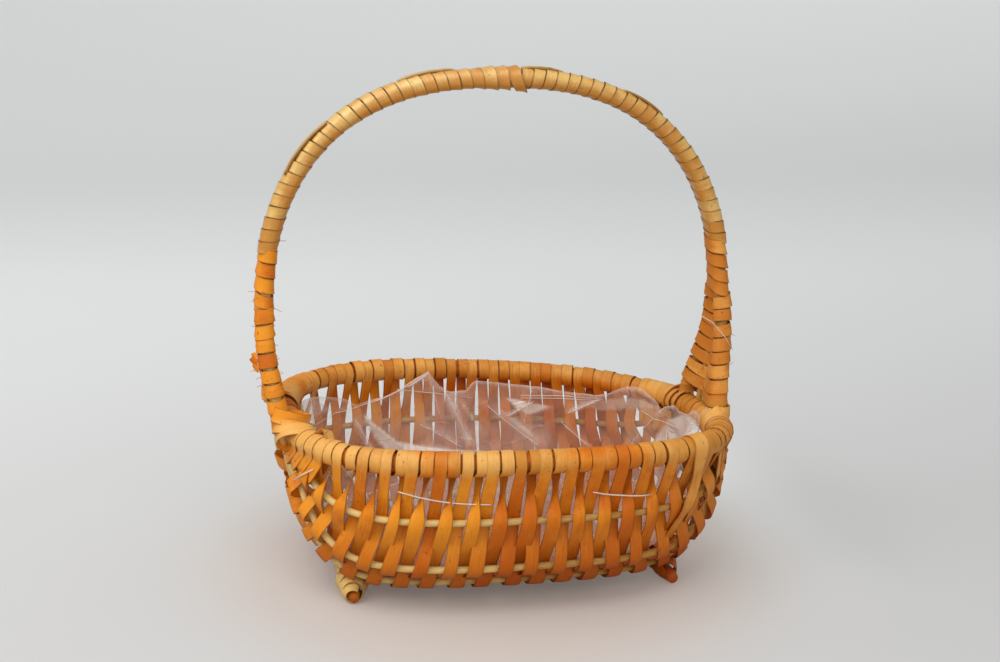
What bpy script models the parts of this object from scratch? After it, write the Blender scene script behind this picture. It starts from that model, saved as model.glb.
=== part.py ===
"""A splint foraging basket: ribbed body, forked arch handle, sewn-in plastic liner.

X runs along the basket, Y from its front to its back, Z up. The basket stands on two
round skids whose underside is at zero height.
"""
import math

import bmesh
import bpy
import numpy as np
from mathutils import Matrix, Vector

# Basket body
RIM_HALF_LENGTH = 0.144
RIM_HALF_WIDTH = 0.104
RIM_ROD_DIAMETER = 0.011
WALL_DEPTH = 0.0955
RIM_SKEW = 0.012
BODY_SHIFT = 0.003
RIM_END_DROP = 0.004
RIM_TWIST = 0.004
RIM_PLAN_POWER = 2.6
SECTION_POWER = 4.6
END_POWER = 9.0
END_SLOPE_POWER = 1.35

# Ribs, by the share of the wall depth at which each side pair runs
RIB_DIAMETER = 0.005
RIB_START = 0.039
SIDE_RIB_DEPTH_SHARES = (0.41, 0.77, 0.935)
FLOOR_RIB_SPREAD_SHARE = 0.32

# Splints
SPLINT_WIDTH = 0.0062
SPLINT_THICKNESS = 0.0009
SPLINT_PITCH = 0.0079
SPLINT_CLEARANCE = 0.0009
RIM_TURN_CLEARANCE = 0.0012
FIRST_RUN_START = 0.048
RIM_TURN_DEGREES = 60
STEEPEST_WEAVE_SHARE = 0.8
LINE_STEPS = 32
END_CROWDING_SHARE = 0.05
SHORTEST_STEP_SHARE = 0.0015

# Skids
SKID_DIAMETER = 0.009
SKID_LENGTH = 0.132
SKID_SPACING = 0.204
FLOOR_EASE = 0.0005

# Handle
HANDLE_HALF_SPAN = 0.155
HANDLE_RISE = 0.1635
HANDLE_SPRING_HEIGHT = 0.168
HANDLE_POWER = 2.45
HANDLE_ROD_DIAMETER = 0.0085
FORK_HEIGHT = 0.212
FORK_POWER = 1.5
LEG_SPREAD = 0.029
LEG_TAIL = 0.009
LEG_CLEARANCE = 0.0013
RIGHT_LEG_OUTWARD = 0.002
LATH_WIDTH = 0.008
LATH_THICKNESS = 0.002
LATH_END_RISE = 0.006
WINDING_WIDTH = 0.0066
WINDING_THICKNESS = 0.001
WINDING_LOOPS = 24
WINDING_END_RISE = 0.008
WINDING_EASE_SHARE = 0.15
WRAP_POWER = 3.4
APEX_WRAP_WIDTH = 0.009
FORK_LOOPS = 9
FORK_SPLINT_WIDTH = 0.0072
FORK_LOWER_HEIGHT = 0.128
FORK_EASE_SHARE = 0.25
INFILL_DIAMETER = 0.004
INFILL_SPREAD = 0.005
INFILL_TOP_HEIGHT = 0.15
INFILL_TAIL = 0.003
LASHING_WIDTH = 0.0045
LASHING_THICKNESS = 0.0012
LASHING_EASE = 0.0011
SEAM_SHARE = 0.012
KNOT_HALF_WIDTH = 0.021
KNOT_HALF_HEIGHT = 0.0135
KNOT_HALF_THICKNESS = 0.005

# Liner and its stitches
LINER_SIDE_INSET = 0.0096
LINER_FLOOR_INSET = 0.0055
LINER_THICKNESS = 0.0006
LINER_DEPTH_SHARES = (0.985, 0.93, 0.8, 0.6, 0.35)
LINER_EDGE_DROP = 0.095
LINER_EDGE_LEAN = 0.1
# Film's edge, as (share of a turn from the right by way of the back, share of the drop, share of the lean)
LINER_EDGE_SHARES = (
    (0.0, -0.01, 0.04), (0.011, 0.005, 0.05), (0.027, -0.03, 0.06), (0.04, 0.035, 0.05), (0.067, -0.02, 0.04),
    (0.083, -0.06, 0.03), (0.097, -0.045, 0.03), (0.108, -0.01, 0.03), (0.121, 0.06, 0.02), (0.131, 0.09, 0.02),
    (0.156, 0.105, 0.02), (0.183, 0.084, 0.02), (0.211, 0.068, 0.02), (0.241, 0.05, 0.02), (0.25, 0.13, 0.03),
    (0.267, 0.135, 0.04), (0.275, 0.085, 0.05), (0.286, -0.045, 0.06), (0.297, 0.01, 0.05), (0.311, 0.095, 0.03),
    (0.325, 0.15, 0.02), (0.353, 0.2, 0.02), (0.364, 0.135, 0.03), (0.389, 0.075, 0.05), (0.422, 0.01, 0.06),
    (0.467, -0.01, 0.06), (0.511, 0.0, 0.05), (0.57, 0.02, 0.02), (0.65, -0.02, 0.0), (0.85, -0.02, 0.0),
    (0.885, 0.02, 0.02), (0.911, -0.05, 0.02), (0.939, -0.075, 0.02), (0.958, -0.01, 0.05), (0.979, -0.035, 0.06),
    (1.0, -0.01, 0.04))
STITCH_DIAMETER = 0.0011
STITCH_DEPTH_SHARE = 0.5
STITCH_CLEARANCE = 0.0007
STITCH_SHARES = ((0.295, 0.435), (0.595, 0.685), (0.14, 0.18))

GAP = 0.0004

# Sizes that follow from those above
RIM_RADIUS = RIM_ROD_DIAMETER / 2
RIM_FLAT_RADIUS = RIM_RADIUS * math.cos(math.pi / 6)
RIB_RADIUS = RIB_DIAMETER / 2
LEG_RADIUS = HANDLE_ROD_DIAMETER / 2
SPLINT_OFFSET = RIB_RADIUS + SPLINT_CLEARANCE + SPLINT_THICKNESS / 2
RIM_TURN_MIDDLE = RIM_RADIUS + RIM_TURN_CLEARANCE + SPLINT_THICKNESS / 2
RIM_TURN_REACH = RIM_TURN_MIDDLE / math.cos(math.radians(RIM_TURN_DEGREES / 2))
WINDING_LOWER_HEIGHT = FORK_HEIGHT + WINDING_END_RISE
SKID_SHARE = SKID_SPACING / 2 / RIM_HALF_LENGTH
UP = Vector((0, 0, 1))
BACKWARD = Vector((0, 1, 0))


def signed_power(value, exponent):
    """Power of the size of a value, with its sign kept."""
    return math.copysign(abs(value) ** exponent, value)


def plan_width_share(length_share):
    """Half-width of the rim's plan, as a share of its widest."""
    return max(0.0, 1.0 - abs(length_share) ** RIM_PLAN_POWER) ** (1.0 / RIM_PLAN_POWER)


def keel_depth_share(length_share):
    """Depth of the keel line, as a share of the deepest."""
    return max(0.0, 1.0 - abs(length_share) ** END_POWER) ** (1.0 / END_SLOPE_POWER)


# The floor rests on the skids, which sets the height of the rim
RIM_HEIGHT = (SKID_DIAMETER + GAP + SPLINT_OFFSET + SPLINT_THICKNESS / 2 + FLOOR_EASE
              + WALL_DEPTH * keel_depth_share(SKID_SHARE))


def leaned(x, y, depth):
    """Point of the basket with its handmade skew, drop and twist, which fade to the floor."""
    top_share = 1.0 - depth / WALL_DEPTH
    length_share = x / RIM_HALF_LENGTH
    width_share = y / RIM_HALF_WIDTH
    lift = -RIM_END_DROP * length_share ** 2 - RIM_TWIST * length_share * (1.0 + width_share)
    return Vector((BODY_SHIFT + x - RIM_SKEW * width_share * top_share, y,
                   RIM_HEIGHT - depth + lift * top_share))


def wall_point(length_share, turn):
    """Point of the wall's middle surface; turn goes from 0 at the front rim to pi at the back."""
    across = signed_power(math.cos(turn), 2.0 / SECTION_POWER)
    down = max(0.0, math.sin(turn)) ** (2.0 / SECTION_POWER)
    y = -RIM_HALF_WIDTH * plan_width_share(length_share) * across
    depth = WALL_DEPTH * keel_depth_share(length_share) * down
    return leaned(RIM_HALF_LENGTH * length_share, y, depth)


def running_lengths(points):
    """Length from the first point to each of the points."""
    lengths = [0.0]
    for before, after in zip(points, points[1:]):
        lengths.append(lengths[-1] + (after - before).length)
    return lengths


def step_share(step):
    """Share of a line's length at one of its steps, which lie closer towards its ends."""
    return step / LINE_STEPS - END_CROWDING_SHARE * math.sin(2 * math.pi * step / LINE_STEPS)


STEP_SHARES = [step_share(step) for step in range(LINE_STEPS + 1)]


def stepped_line(turn, steps=160):
    """Length of the wall's line at one turn, and its points at the steps."""
    shares = [math.sin(math.pi * (step / steps - 0.5)) for step in range(steps + 1)]
    lengths = running_lengths([wall_point(share, turn) for share in shares])
    places = [lengths[-1] * share for share in STEP_SHARES]
    return lengths[-1], [wall_point(float(np.interp(place, lengths, shares)), turn) for place in places]


LINES = {}


def line_at(turn):
    """The length and points of one line, worked out once."""
    key = round(turn, 6)
    if key not in LINES:
        LINES[key] = stepped_line(turn)
    return LINES[key]


def along_wall(turn, run_share):
    """Point that lies run_share of the way along one line, from the left end to the right."""
    points = line_at(turn)[1]
    place = float(np.interp(run_share, STEP_SHARES, range(LINE_STEPS + 1)))
    step = min(LINE_STEPS - 1, int(place))
    return points[step].lerp(points[step + 1], place - step)


def wall_frame(turn, run_share, reach_share=0.4 / LINE_STEPS, turn_degrees=0.1):
    """Point, direction along the line and outward direction of the wall."""
    point = along_wall(turn, run_share)
    ahead = along_wall(turn, min(1.0, run_share + reach_share))
    behind = along_wall(turn, max(0.0, run_share - reach_share))
    along = (ahead - behind).normalized()
    reach = math.radians(turn_degrees)
    across = along_wall(turn + reach, run_share) - along_wall(turn - reach, run_share)
    outward = across.cross(along).normalized()
    return point, along, outward


def rim_frame(back, run_share, reach_share=0.4 / LINE_STEPS):
    """Point of the rim, direction along it and level outward direction."""
    turn = math.pi if back else 0.0
    point = along_wall(turn, run_share)
    ahead = along_wall(turn, run_share + reach_share)
    behind = along_wall(turn, run_share - reach_share)
    along = (ahead - behind).normalized()
    outward = along.cross(UP).normalized()
    return point, along, -outward if back else outward


def rib_turns():
    """Turns of the eight ribs, from the front rim to the back one."""
    turns = [math.asin(share ** (SECTION_POWER / 2)) for share in SIDE_RIB_DEPTH_SHARES]
    turns.append(math.acos(FLOOR_RIB_SPREAD_SHARE ** (SECTION_POWER / 2)))
    return turns + [math.pi - turn for turn in reversed(turns)]


def material(name, colour, roughness, transmission=0.0):
    """Principled material of one colour."""
    made = bpy.data.materials.new(name)
    made.use_nodes = True
    shader = made.node_tree.nodes["Principled BSDF"]
    shader.inputs["Base Color"].default_value = (*colour, 1.0)
    shader.inputs["Roughness"].default_value = roughness
    shader.inputs["Metallic"].default_value = 0.0
    shader.inputs["Transmission Weight"].default_value = transmission
    made.diffuse_color = (*colour, 1.0)
    return made


def place(name, data, surface):
    """Links a new object of the given mesh or curve."""
    data.materials.append(surface)
    made = bpy.data.objects.new(name, data)
    bpy.context.scene.collection.objects.link(made)
    return made


def rod(name, points, diameter, surface, closed=False):
    """Round rod along a list of points."""
    curve = bpy.data.curves.new(name, "CURVE")
    curve.dimensions = "3D"
    curve.bevel_depth = diameter / 2
    curve.bevel_resolution = 1
    curve.use_fill_caps = not closed
    spline = curve.splines.new("POLY")
    spline.points.add(len(points) - 1)
    for slot, point in zip(spline.points, points):
        slot.co = (*point, 1.0)
    spline.use_cyclic_u = closed
    spline.use_smooth = True
    return place(name, curve, surface)


def finish_mesh(name, shape, surface, smooth):
    """Turns a bmesh into an object with its faces outward."""
    bmesh.ops.recalc_face_normals(shape, faces=shape.faces)
    mesh = bpy.data.meshes.new(name)
    shape.to_mesh(mesh)
    shape.free()
    for face in mesh.polygons:
        face.use_smooth = smooth
    return place(name, mesh, surface)


def thicken(item, thickness, offset_share):
    """Solidify modifier of even thickness."""
    wall = item.modifiers.new("Thickness", "SOLIDIFY")
    wall.thickness = thickness
    wall.offset = offset_share
    wall.use_even_offset = True
    return item


def ribbon(name, stations, width, thickness, surface):
    """Flat splint along stations, each a point and a sideways direction."""
    shape = bmesh.new()
    point, side = stations[0]
    left = shape.verts.new(point - side * (width / 2))
    right = shape.verts.new(point + side * (width / 2))
    edge = shape.edges.new((left, right))
    for point, side in stations[1:]:
        made = bmesh.ops.extrude_edge_only(shape, edges=[edge])["geom"]
        corners = [item for item in made if isinstance(item, bmesh.types.BMVert)]
        start = left.co.copy()
        corners.sort(key=lambda corner: (corner.co - start).length)
        left, right = corners
        left.co = point - side * (width / 2)
        right.co = point + side * (width / 2)
        edge = next(item for item in left.link_edges if item.other_vert(left) is right)
    return thicken(finish_mesh(name, shape, surface, False), thickness, 0.0)


def report_gap(name, stations, per_loop, width):
    """Prints the least gap between the edges of a winding's neighbouring loops."""
    points = np.array([point for point, _ in stations])
    least = min(float(np.linalg.norm(points[index + per_loop - 1:] - points[index], axis=1).min())
                for index in range(len(points) - per_loop))
    print(f"{name}: least gap to itself {(least - width) * 1000:.2f} mm")


def rim_turn_stations(back, run_share, next_share, angles):
    """Stations of a splint round the rim; after three quarters it is at the next run's place."""
    stations = []
    for angle in angles:
        share = run_share if angle < 270 else next_share
        point, along, outward = rim_frame(back, share)
        around = math.radians(angle)
        place_on_ring = outward * math.cos(around) + UP * math.sin(around)
        stations.append((point + place_on_ring * RIM_TURN_REACH, along))
    return stations


def run_stations(run_share, first_sign):
    """Stations of one run under the basket, out of and into the ribs, from front to back."""
    frames = [wall_frame(turn, run_share) for turn in rib_turns()]
    stations = []
    for index, (point, along, outward) in enumerate(frames):
        beside = frames[max(0, index - 1):index] + frames[index + 1:index + 2]
        spacing = min((point - other).length for other, _, _ in beside)
        slope_share = min(STEEPEST_WEAVE_SHARE, 2 * SPLINT_OFFSET / spacing)
        reach = SPLINT_OFFSET / math.sqrt(1.0 - slope_share ** 2)
        sign = first_sign if index % 2 == 0 else -first_sign
        stations.append((point + outward * (reach * sign), along))
    return stations


def build_splints(surface):
    """Hairpins of splint: one run, a turn and a half round the front rim, and the next run."""
    rim_length = line_at(0.0)[0]
    woven = rim_length - 2 * FIRST_RUN_START
    pairs = max(1, round((woven / SPLINT_PITCH + 1) / 2))
    pitch_share = woven / rim_length / (2 * pairs - 1)
    hook = range(0, 181, RIM_TURN_DEGREES)
    turn = range(0, 541, RIM_TURN_DEGREES)
    for pair in range(pairs):
        share = FIRST_RUN_START / rim_length + 2 * pair * pitch_share
        following = share + pitch_share
        stations = rim_turn_stations(True, share, share, hook)
        stations += run_stations(share, -1)[::-1]
        stations += rim_turn_stations(False, share, following, turn)
        stations += run_stations(following, 1)
        stations += rim_turn_stations(True, following, following, hook)
        ribbon(f"splint_{pair + 1:02d}", stations, SPLINT_WIDTH, SPLINT_THICKNESS, surface)


def build_rim(surface):
    """The rim rod, one closed hoop."""
    front = line_at(0.0)[1]
    back = line_at(math.pi)[1]
    rod("rim_rod", front[:-1] + back[:0:-1], RIM_ROD_DIAMETER, surface, closed=True)


def build_ribs(surface):
    """Eight ribs that run the length of the basket and converge at its ends."""
    for index, turn in enumerate(rib_turns()):
        length, points = line_at(turn)
        start = RIB_START / length
        nearest = start + SHORTEST_STEP_SHARE
        first = next(step for step, share in enumerate(STEP_SHARES) if share > nearest)
        inner = points[first:LINE_STEPS + 1 - first]
        ends = along_wall(turn, start), along_wall(turn, 1.0 - start)
        rod(f"rib_{index + 1}", [ends[0], *inner, ends[1]], RIB_DIAMETER, surface)


def build_skids(surface, sides=8):
    """Two cross rods under the floor, whose free ends are the feet."""
    for name, side in (("skid_left", -1), ("skid_right", 1)):
        shape = bmesh.new()
        radius = SKID_DIAMETER / 2 / math.cos(math.pi / sides)
        bmesh.ops.create_cone(shape, cap_ends=True, segments=sides, depth=SKID_LENGTH,
                              radius1=radius, radius2=radius)
        bmesh.ops.rotate(shape, verts=shape.verts, matrix=Matrix.Rotation(math.pi / sides, 3, "Z"))
        bmesh.ops.rotate(shape, verts=shape.verts, matrix=Matrix.Rotation(math.pi / 2, 3, "X"))
        item = finish_mesh(name, shape, surface, False)
        item.location = (BODY_SHIFT + side * SKID_SPACING / 2, 0, SKID_DIAMETER / 2)


def build_knots(surface):
    """The lashed knot at each end, in the middle of the converging ribs."""
    for name, share in (("end_knot_left", -1), ("end_knot_right", 1)):
        shape = bmesh.new()
        bmesh.ops.create_uvsphere(shape, u_segments=14, v_segments=8, radius=KNOT_HALF_WIDTH)
        bmesh.ops.scale(shape, verts=shape.verts,
                        vec=(KNOT_HALF_THICKNESS / KNOT_HALF_WIDTH, 1, KNOT_HALF_HEIGHT / KNOT_HALF_WIDTH))
        item = finish_mesh(name, shape, surface, True)
        item.location = wall_point(share, 0.0) - UP * (RIM_FLAT_RADIUS + GAP + KNOT_HALF_HEIGHT)


def rim_end_point(side, y):
    """Middle of the rim at one end of the basket, at a distance from the basket's middle plane."""
    width_share = abs(y) / RIM_HALF_WIDTH
    length_share = (1.0 - width_share ** RIM_PLAN_POWER) ** (1.0 / RIM_PLAN_POWER)
    return leaned(side * RIM_HALF_LENGTH * length_share, y, 0.0)


def rim_beside_leg(side, front):
    """Middle of the rim where a leg of the handle meets it."""
    return rim_end_point(side, -LEG_SPREAD if front else LEG_SPREAD)


def leg_foot(side, front):
    """Middle of a leg at the rim's height: outside the rim on the left, over it on the right."""
    outward = RIM_RADIUS + LEG_RADIUS + LEG_CLEARANCE if side < 0 else RIGHT_LEG_OUTWARD
    return rim_beside_leg(side, front) + Vector((side * outward, 0, 0))


def leg_end_height(side, front):
    """Height of a leg's lower end: below the rim on the left, on top of it on the right."""
    return leg_foot(side, front).z + (-LEG_TAIL if side < 0 else RIM_RADIUS + LEG_CLEARANCE)


def stem_half_gap():
    """Half the distance between the two handle rods where they run side by side."""
    return LEG_RADIUS + GAP / 2


def leg_point(side, front, height):
    """Middle of one leg at a height below the arch's springing or on it."""
    foot = leg_foot(side, front)
    fall_share = min(1.0, max(0.0, (FORK_HEIGHT - height) / (FORK_HEIGHT - foot.z)))
    spread = stem_half_gap() + (LEG_SPREAD - stem_half_gap()) * fall_share ** FORK_POWER
    if height >= HANDLE_SPRING_HEIGHT:
        rise_share = (height - HANDLE_SPRING_HEIGHT) / HANDLE_RISE
        x = side * HANDLE_HALF_SPAN * (1.0 - rise_share ** HANDLE_POWER) ** (1.0 / HANDLE_POWER)
    else:
        blend = min(1.0, (HANDLE_SPRING_HEIGHT - height) / (HANDLE_SPRING_HEIGHT - foot.z))
        blend = blend * blend * (3.0 - 2.0 * blend)
        spring = side * HANDLE_HALF_SPAN
        x = spring + (foot.x - spring) * blend
    return Vector((x, -spread if front else spread, height))


def arch_points(lowest, steps=160):
    """Points of the arch's middle line from a height on the left over the apex to the right."""
    points = []
    for step in range(steps + 1):
        angle = math.pi * (1.0 - step / steps)
        x = HANDLE_HALF_SPAN * signed_power(math.cos(angle), 2.0 / HANDLE_POWER)
        z = HANDLE_SPRING_HEIGHT + HANDLE_RISE * max(0.0, math.sin(angle)) ** (2.0 / HANDLE_POWER)
        if z >= lowest:
            points.append(Vector((x, 0, z)))
    return points


def resampled(points, count, reach_share=0.25):
    """The same line with its points evenly spaced, each with its direction."""
    lengths = running_lengths(points)
    columns = np.array(points)
    step = lengths[-1] / (count - 1)

    def point_at(distance):
        return Vector([np.interp(distance, lengths, columns[:, axis]) for axis in range(3)])

    even = []
    for index in range(count):
        ahead = point_at((index + reach_share) * step)
        behind = point_at((index - reach_share) * step)
        even.append((point_at(index * step), (ahead - behind).normalized()))
    return even


def build_handle_rods(surface, leg_steps=9, arch_count=36):
    """Two rods side by side over the arch, which part into the fork's four legs."""
    for name, front in (("handle_rod_front", True), ("handle_rod_back", False)):
        sides = []
        for side in (-1, 1):
            low = leg_end_height(side, front)
            heights = [low + (FORK_HEIGHT - low) * step / leg_steps for step in range(leg_steps)]
            sides.append([leg_point(side, front, height) for height in heights])
        offset = Vector((0, -stem_half_gap() if front else stem_half_gap(), 0))
        arch = [spot + offset for spot, _ in resampled(arch_points(FORK_HEIGHT), arch_count)]
        rod(name, sides[0] + arch + sides[1][::-1], HANDLE_ROD_DIAMETER, surface)


def build_lath(surface, count=40):
    """Thin filler strip along the outer side of the arch, under the winding."""
    lift = LEG_RADIUS + GAP + LATH_THICKNESS / 2
    stations = []
    for spot, along in resampled(arch_points(WINDING_LOWER_HEIGHT + LATH_END_RISE), count):
        stations.append((spot + along.cross(BACKWARD) * lift, BACKWARD))
    ribbon("handle_lath", stations, LATH_WIDTH, LATH_THICKNESS, surface)


def winding_section(angle, thickness):
    """Sideways and outward reach of a handle winding at an angle round the stem."""
    ease = 1.0 + WINDING_EASE_SHARE
    half_side = (stem_half_gap() + LEG_RADIUS + GAP + thickness / 2) * (1.0 + WINDING_EASE_SHARE / 2)
    half_out = (LEG_RADIUS + LATH_THICKNESS / 2 + GAP + thickness / 2) * ease
    side = half_side * signed_power(math.cos(angle), 2.0 / WRAP_POWER)
    out = half_out * signed_power(math.sin(angle), 2.0 / WRAP_POWER)
    return side, out + LATH_THICKNESS / 2


def build_windings(surface, per_loop=8, line_per_station=4):
    """A splint wound round each half of the arch, and a wider wrap where they meet."""
    arch = arch_points(WINDING_LOWER_HEIGHT)
    count = WINDING_LOOPS * per_loop
    spaces = line_per_station * count
    line = resampled(arch, spaces + 1)
    length = running_lengths(arch)[-1]
    apex_share = ((APEX_WRAP_WIDTH + WINDING_WIDTH) / 2 + 2 * GAP) / length
    first_share = WINDING_WIDTH / 2 / length
    for name, start, end in (("handle_winding_left", first_share, 0.5 - apex_share),
                             ("handle_winding_right", 1.0 - first_share, 0.5 + apex_share)):
        stations = []
        for index in range(count + 1):
            spot, along = line[round((start + (end - start) * index / count) * spaces)]
            side, out = winding_section(2 * math.pi * index / per_loop, WINDING_THICKNESS)
            stations.append((spot + Vector((0, side, 0)) + along.cross(BACKWARD) * out, along))
        ribbon(name, stations, WINDING_WIDTH, WINDING_THICKNESS, surface)
        report_gap(name, stations, per_loop, WINDING_WIDTH)
    spot, along = line[spaces // 2]
    stations = []
    for index in range(per_loop + 1):
        share = SEAM_SHARE + (1.0 - 2 * SEAM_SHARE) * index / per_loop
        side, out = winding_section(2 * math.pi * share - math.pi / 2, WINDING_THICKNESS)
        stations.append((spot + Vector((0, side, 0)) + along.cross(BACKWARD) * out, along))
    ribbon("handle_apex_wrap", stations, APEX_WRAP_WIDTH, WINDING_THICKNESS, surface)


def build_fork_windings(surface, per_loop=8):
    """A splint wound round both legs of each fork, its width along the nearer leg."""
    ring = (LEG_RADIUS + GAP + WINDING_THICKNESS / 2) * (1.0 + FORK_EASE_SHARE)
    count = FORK_LOOPS * per_loop
    for name, side in (("fork_winding_left", -1), ("fork_winding_right", 1)):
        stations = []
        for index in range(count + 1):
            height = FORK_HEIGHT - FORK_SPLINT_WIDTH / 2 + (FORK_LOWER_HEIGHT - FORK_HEIGHT) * index / count
            front = leg_point(side, True, height)
            back = leg_point(side, False, height)
            angle = 2 * math.pi * index / per_loop
            across = round(math.cos(angle), 3)
            back_share = (1.0 + signed_power(across, 0.0)) / 2 if across else 0.5
            round_leg = Vector((ring * signed_power(math.sin(angle), 2.0 / WRAP_POWER),
                                ring * signed_power(across, 2.0), 0))
            up_front = leg_point(side, True, height + FORK_SPLINT_WIDTH / 2) - front
            up_back = leg_point(side, False, height + FORK_SPLINT_WIDTH / 2) - back
            along = up_front.lerp(up_back, back_share).normalized()
            stations.append((front.lerp(back, back_share) + round_leg, along))
        ribbon(name, stations, FORK_SPLINT_WIDTH, WINDING_THICKNESS, surface)
        report_gap(name, stations, per_loop, FORK_SPLINT_WIDTH)


def infill_foot(side, y):
    """Lower end of a short fork rod: beside the rim on the left, on top of it on the right."""
    rim = rim_end_point(side, y)
    if side < 0:
        return rim + Vector((-RIM_RADIUS - GAP - INFILL_DIAMETER / 2, 0, -INFILL_TAIL))
    return rim + UP * (RIM_RADIUS + GAP)


def build_infill(surface):
    """Two short rods between the legs of each fork, which the winding passes round."""
    for side_name, side in (("left", -1), ("right", 1)):
        for index, y in enumerate((-INFILL_SPREAD, INFILL_SPREAD)):
            foot = infill_foot(side, y)
            legs = leg_point(side, True, INFILL_TOP_HEIGHT), leg_point(side, False, INFILL_TOP_HEIGHT)
            top = Vector(((legs[0].x + legs[1].x) / 2, y, INFILL_TOP_HEIGHT))
            rod(f"fork_rod_{side_name}_{index + 1}", [foot, top], INFILL_DIAMETER, surface)


def build_left_lashings(surface, steps=14):
    """A band slantwise round the rim and each left leg, where they cross."""
    for end_name, front in (("front", True), ("back", False)):
        inner = rim_beside_leg(-1, front).x + RIM_RADIUS
        outer = leg_foot(-1, front).x - LEG_RADIUS
        ease = GAP + LASHING_THICKNESS + LASHING_EASE
        middle = leg_foot(-1, front)
        middle.x = (inner + outer) / 2
        half_x = (inner - outer) / 2 + ease
        half_w = RIM_RADIUS * math.sqrt(2) + LASHING_WIDTH / 2 + ease
        inward = 1 if front else -1
        slant = Vector((0, inward, -1)).normalized()
        normal = Vector((0, inward, 1)).normalized()
        stations = []
        for step in range(steps + 1):
            angle = math.pi + 2 * math.pi * (SEAM_SHARE + (1.0 - 2 * SEAM_SHARE) * step / steps)
            reach_x = half_x * signed_power(math.cos(angle), 2.0 / WRAP_POWER)
            reach_w = half_w * signed_power(math.sin(angle), 2.0 / WRAP_POWER)
            stations.append((middle + Vector((reach_x, 0, 0)) + slant * reach_w, normal))
        ribbon(f"leg_lashing_left_{end_name}", stations, LASHING_WIDTH, LASHING_THICKNESS, surface)


def build_right_lashings(surface, per_loop=8):
    """Two turns of splint round the foot of each right leg, on top of the rim."""
    ring = (LEG_RADIUS + GAP + LASHING_THICKNESS / 2) * (1.0 + WINDING_EASE_SHARE)
    for end_name, front in (("front", True), ("back", False)):
        low = leg_end_height(1, front) + LASHING_WIDTH / 2 + GAP
        stations = []
        for index in range(2 * per_loop + 1):
            height = low + (LASHING_WIDTH + 2 * GAP) * index / per_loop
            spot = leg_point(1, front, height)
            angle = 2 * math.pi * index / per_loop
            direction = (leg_point(1, front, height + LASHING_WIDTH) - spot).normalized()
            round_leg = Vector((ring * math.cos(angle), ring * math.sin(angle), 0))
            stations.append((spot + round_leg, direction))
        ribbon(f"leg_lashing_right_{end_name}", stations, LASHING_WIDTH, LASHING_THICKNESS, surface)


def liner_point(angle, depth, halvings=40):
    """Point of the liner's wall in one direction from its middle and at one depth."""
    inset_x = RIM_HALF_LENGTH - LINER_SIDE_INSET
    inset_y = RIM_HALF_WIDTH - LINER_SIDE_INSET
    inset_depth = WALL_DEPTH - LINER_FLOOR_INSET
    inner_share = 0.0
    outer_share = math.sqrt(2)
    for _ in range(halvings):
        share = (inner_share + outer_share) / 2
        length_share = min(1.0, abs(share * math.cos(angle)))
        width = plan_width_share(length_share)
        fall = keel_depth_share(length_share) * inset_depth
        inside = False
        if width > 0 and fall > 0:
            across = abs(share * math.sin(angle)) / width
            down = max(0.0, depth) / fall
            inside = across ** SECTION_POWER + down ** SECTION_POWER < 1.0
        if inside:
            inner_share = share
        else:
            outer_share = share
    return leaned(inset_x * inner_share * math.cos(angle), inset_y * inner_share * math.sin(angle), depth)


def liner_edge_point(angle):
    """Point of the liner's uneven upper edge, which leans in from the wall."""
    turn_share = angle / (2 * math.pi) % 1.0
    turn_shares, drop_shares, lean_shares = zip(*LINER_EDGE_SHARES)
    drop = LINER_EDGE_DROP * float(np.interp(turn_share, turn_shares, drop_shares))
    lean = LINER_EDGE_LEAN * float(np.interp(turn_share, turn_shares, lean_shares))
    point = liner_point(angle, drop)
    inward = Vector((BODY_SHIFT - point.x, -point.y, 0)).normalized()
    return point + inward * lean


def build_liner(surface, sides=96):
    """The plastic bag inside the basket, open at its top."""
    full = WALL_DEPTH - LINER_FLOOR_INSET
    depths = [full * share for share in LINER_DEPTH_SHARES]
    shape = bmesh.new()
    bmesh.ops.create_circle(shape, cap_ends=True, segments=sides, radius=RIM_HALF_WIDTH)
    angles = {corner: math.atan2(corner.co.y, corner.co.x) for corner in shape.verts}
    for corner, angle in angles.items():
        corner.co = liner_point(angle, depths[0])
    edges = list(shape.edges)
    for depth in depths[1:] + [None]:
        made = bmesh.ops.extrude_edge_only(shape, edges=edges)["geom"]
        raised = [item for item in made if isinstance(item, bmesh.types.BMVert)]
        edges = [item for item in made if isinstance(item, bmesh.types.BMEdge)
                 and item.verts[0] in raised and item.verts[1] in raised]
        below = {corner: next(edge.other_vert(corner) for edge in corner.link_edges
                              if edge.other_vert(corner) in angles) for corner in raised}
        angles = {corner: angles[below[corner]] for corner in raised}
        for corner, angle in angles.items():
            corner.co = liner_edge_point(angle) if depth is None else liner_point(angle, depth)
    thicken(finish_mesh("plastic_liner", shape, surface, True), LINER_THICKNESS, -1.0)


def build_stitches(surface, steps=6):
    """Short threads that sew the liner to the wall, across the outer splints under the rim."""
    lift = SPLINT_THICKNESS / 2 + STITCH_CLEARANCE + STITCH_DIAMETER / 2
    for index, (start, end) in enumerate(STITCH_SHARES):
        points = []
        for step in range(steps + 1):
            run_share = start + (end - start) * step / steps
            above, along = rim_turn_stations(False, run_share, run_share, [0])[0]
            below = run_stations(run_share, -1)[0][0]
            outward = (below - above).cross(along).normalized()
            points.append(above.lerp(below, STITCH_DEPTH_SHARE) + outward * lift)
        rod(f"stitch_{index + 1}", points, STITCH_DIAMETER, surface)


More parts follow.
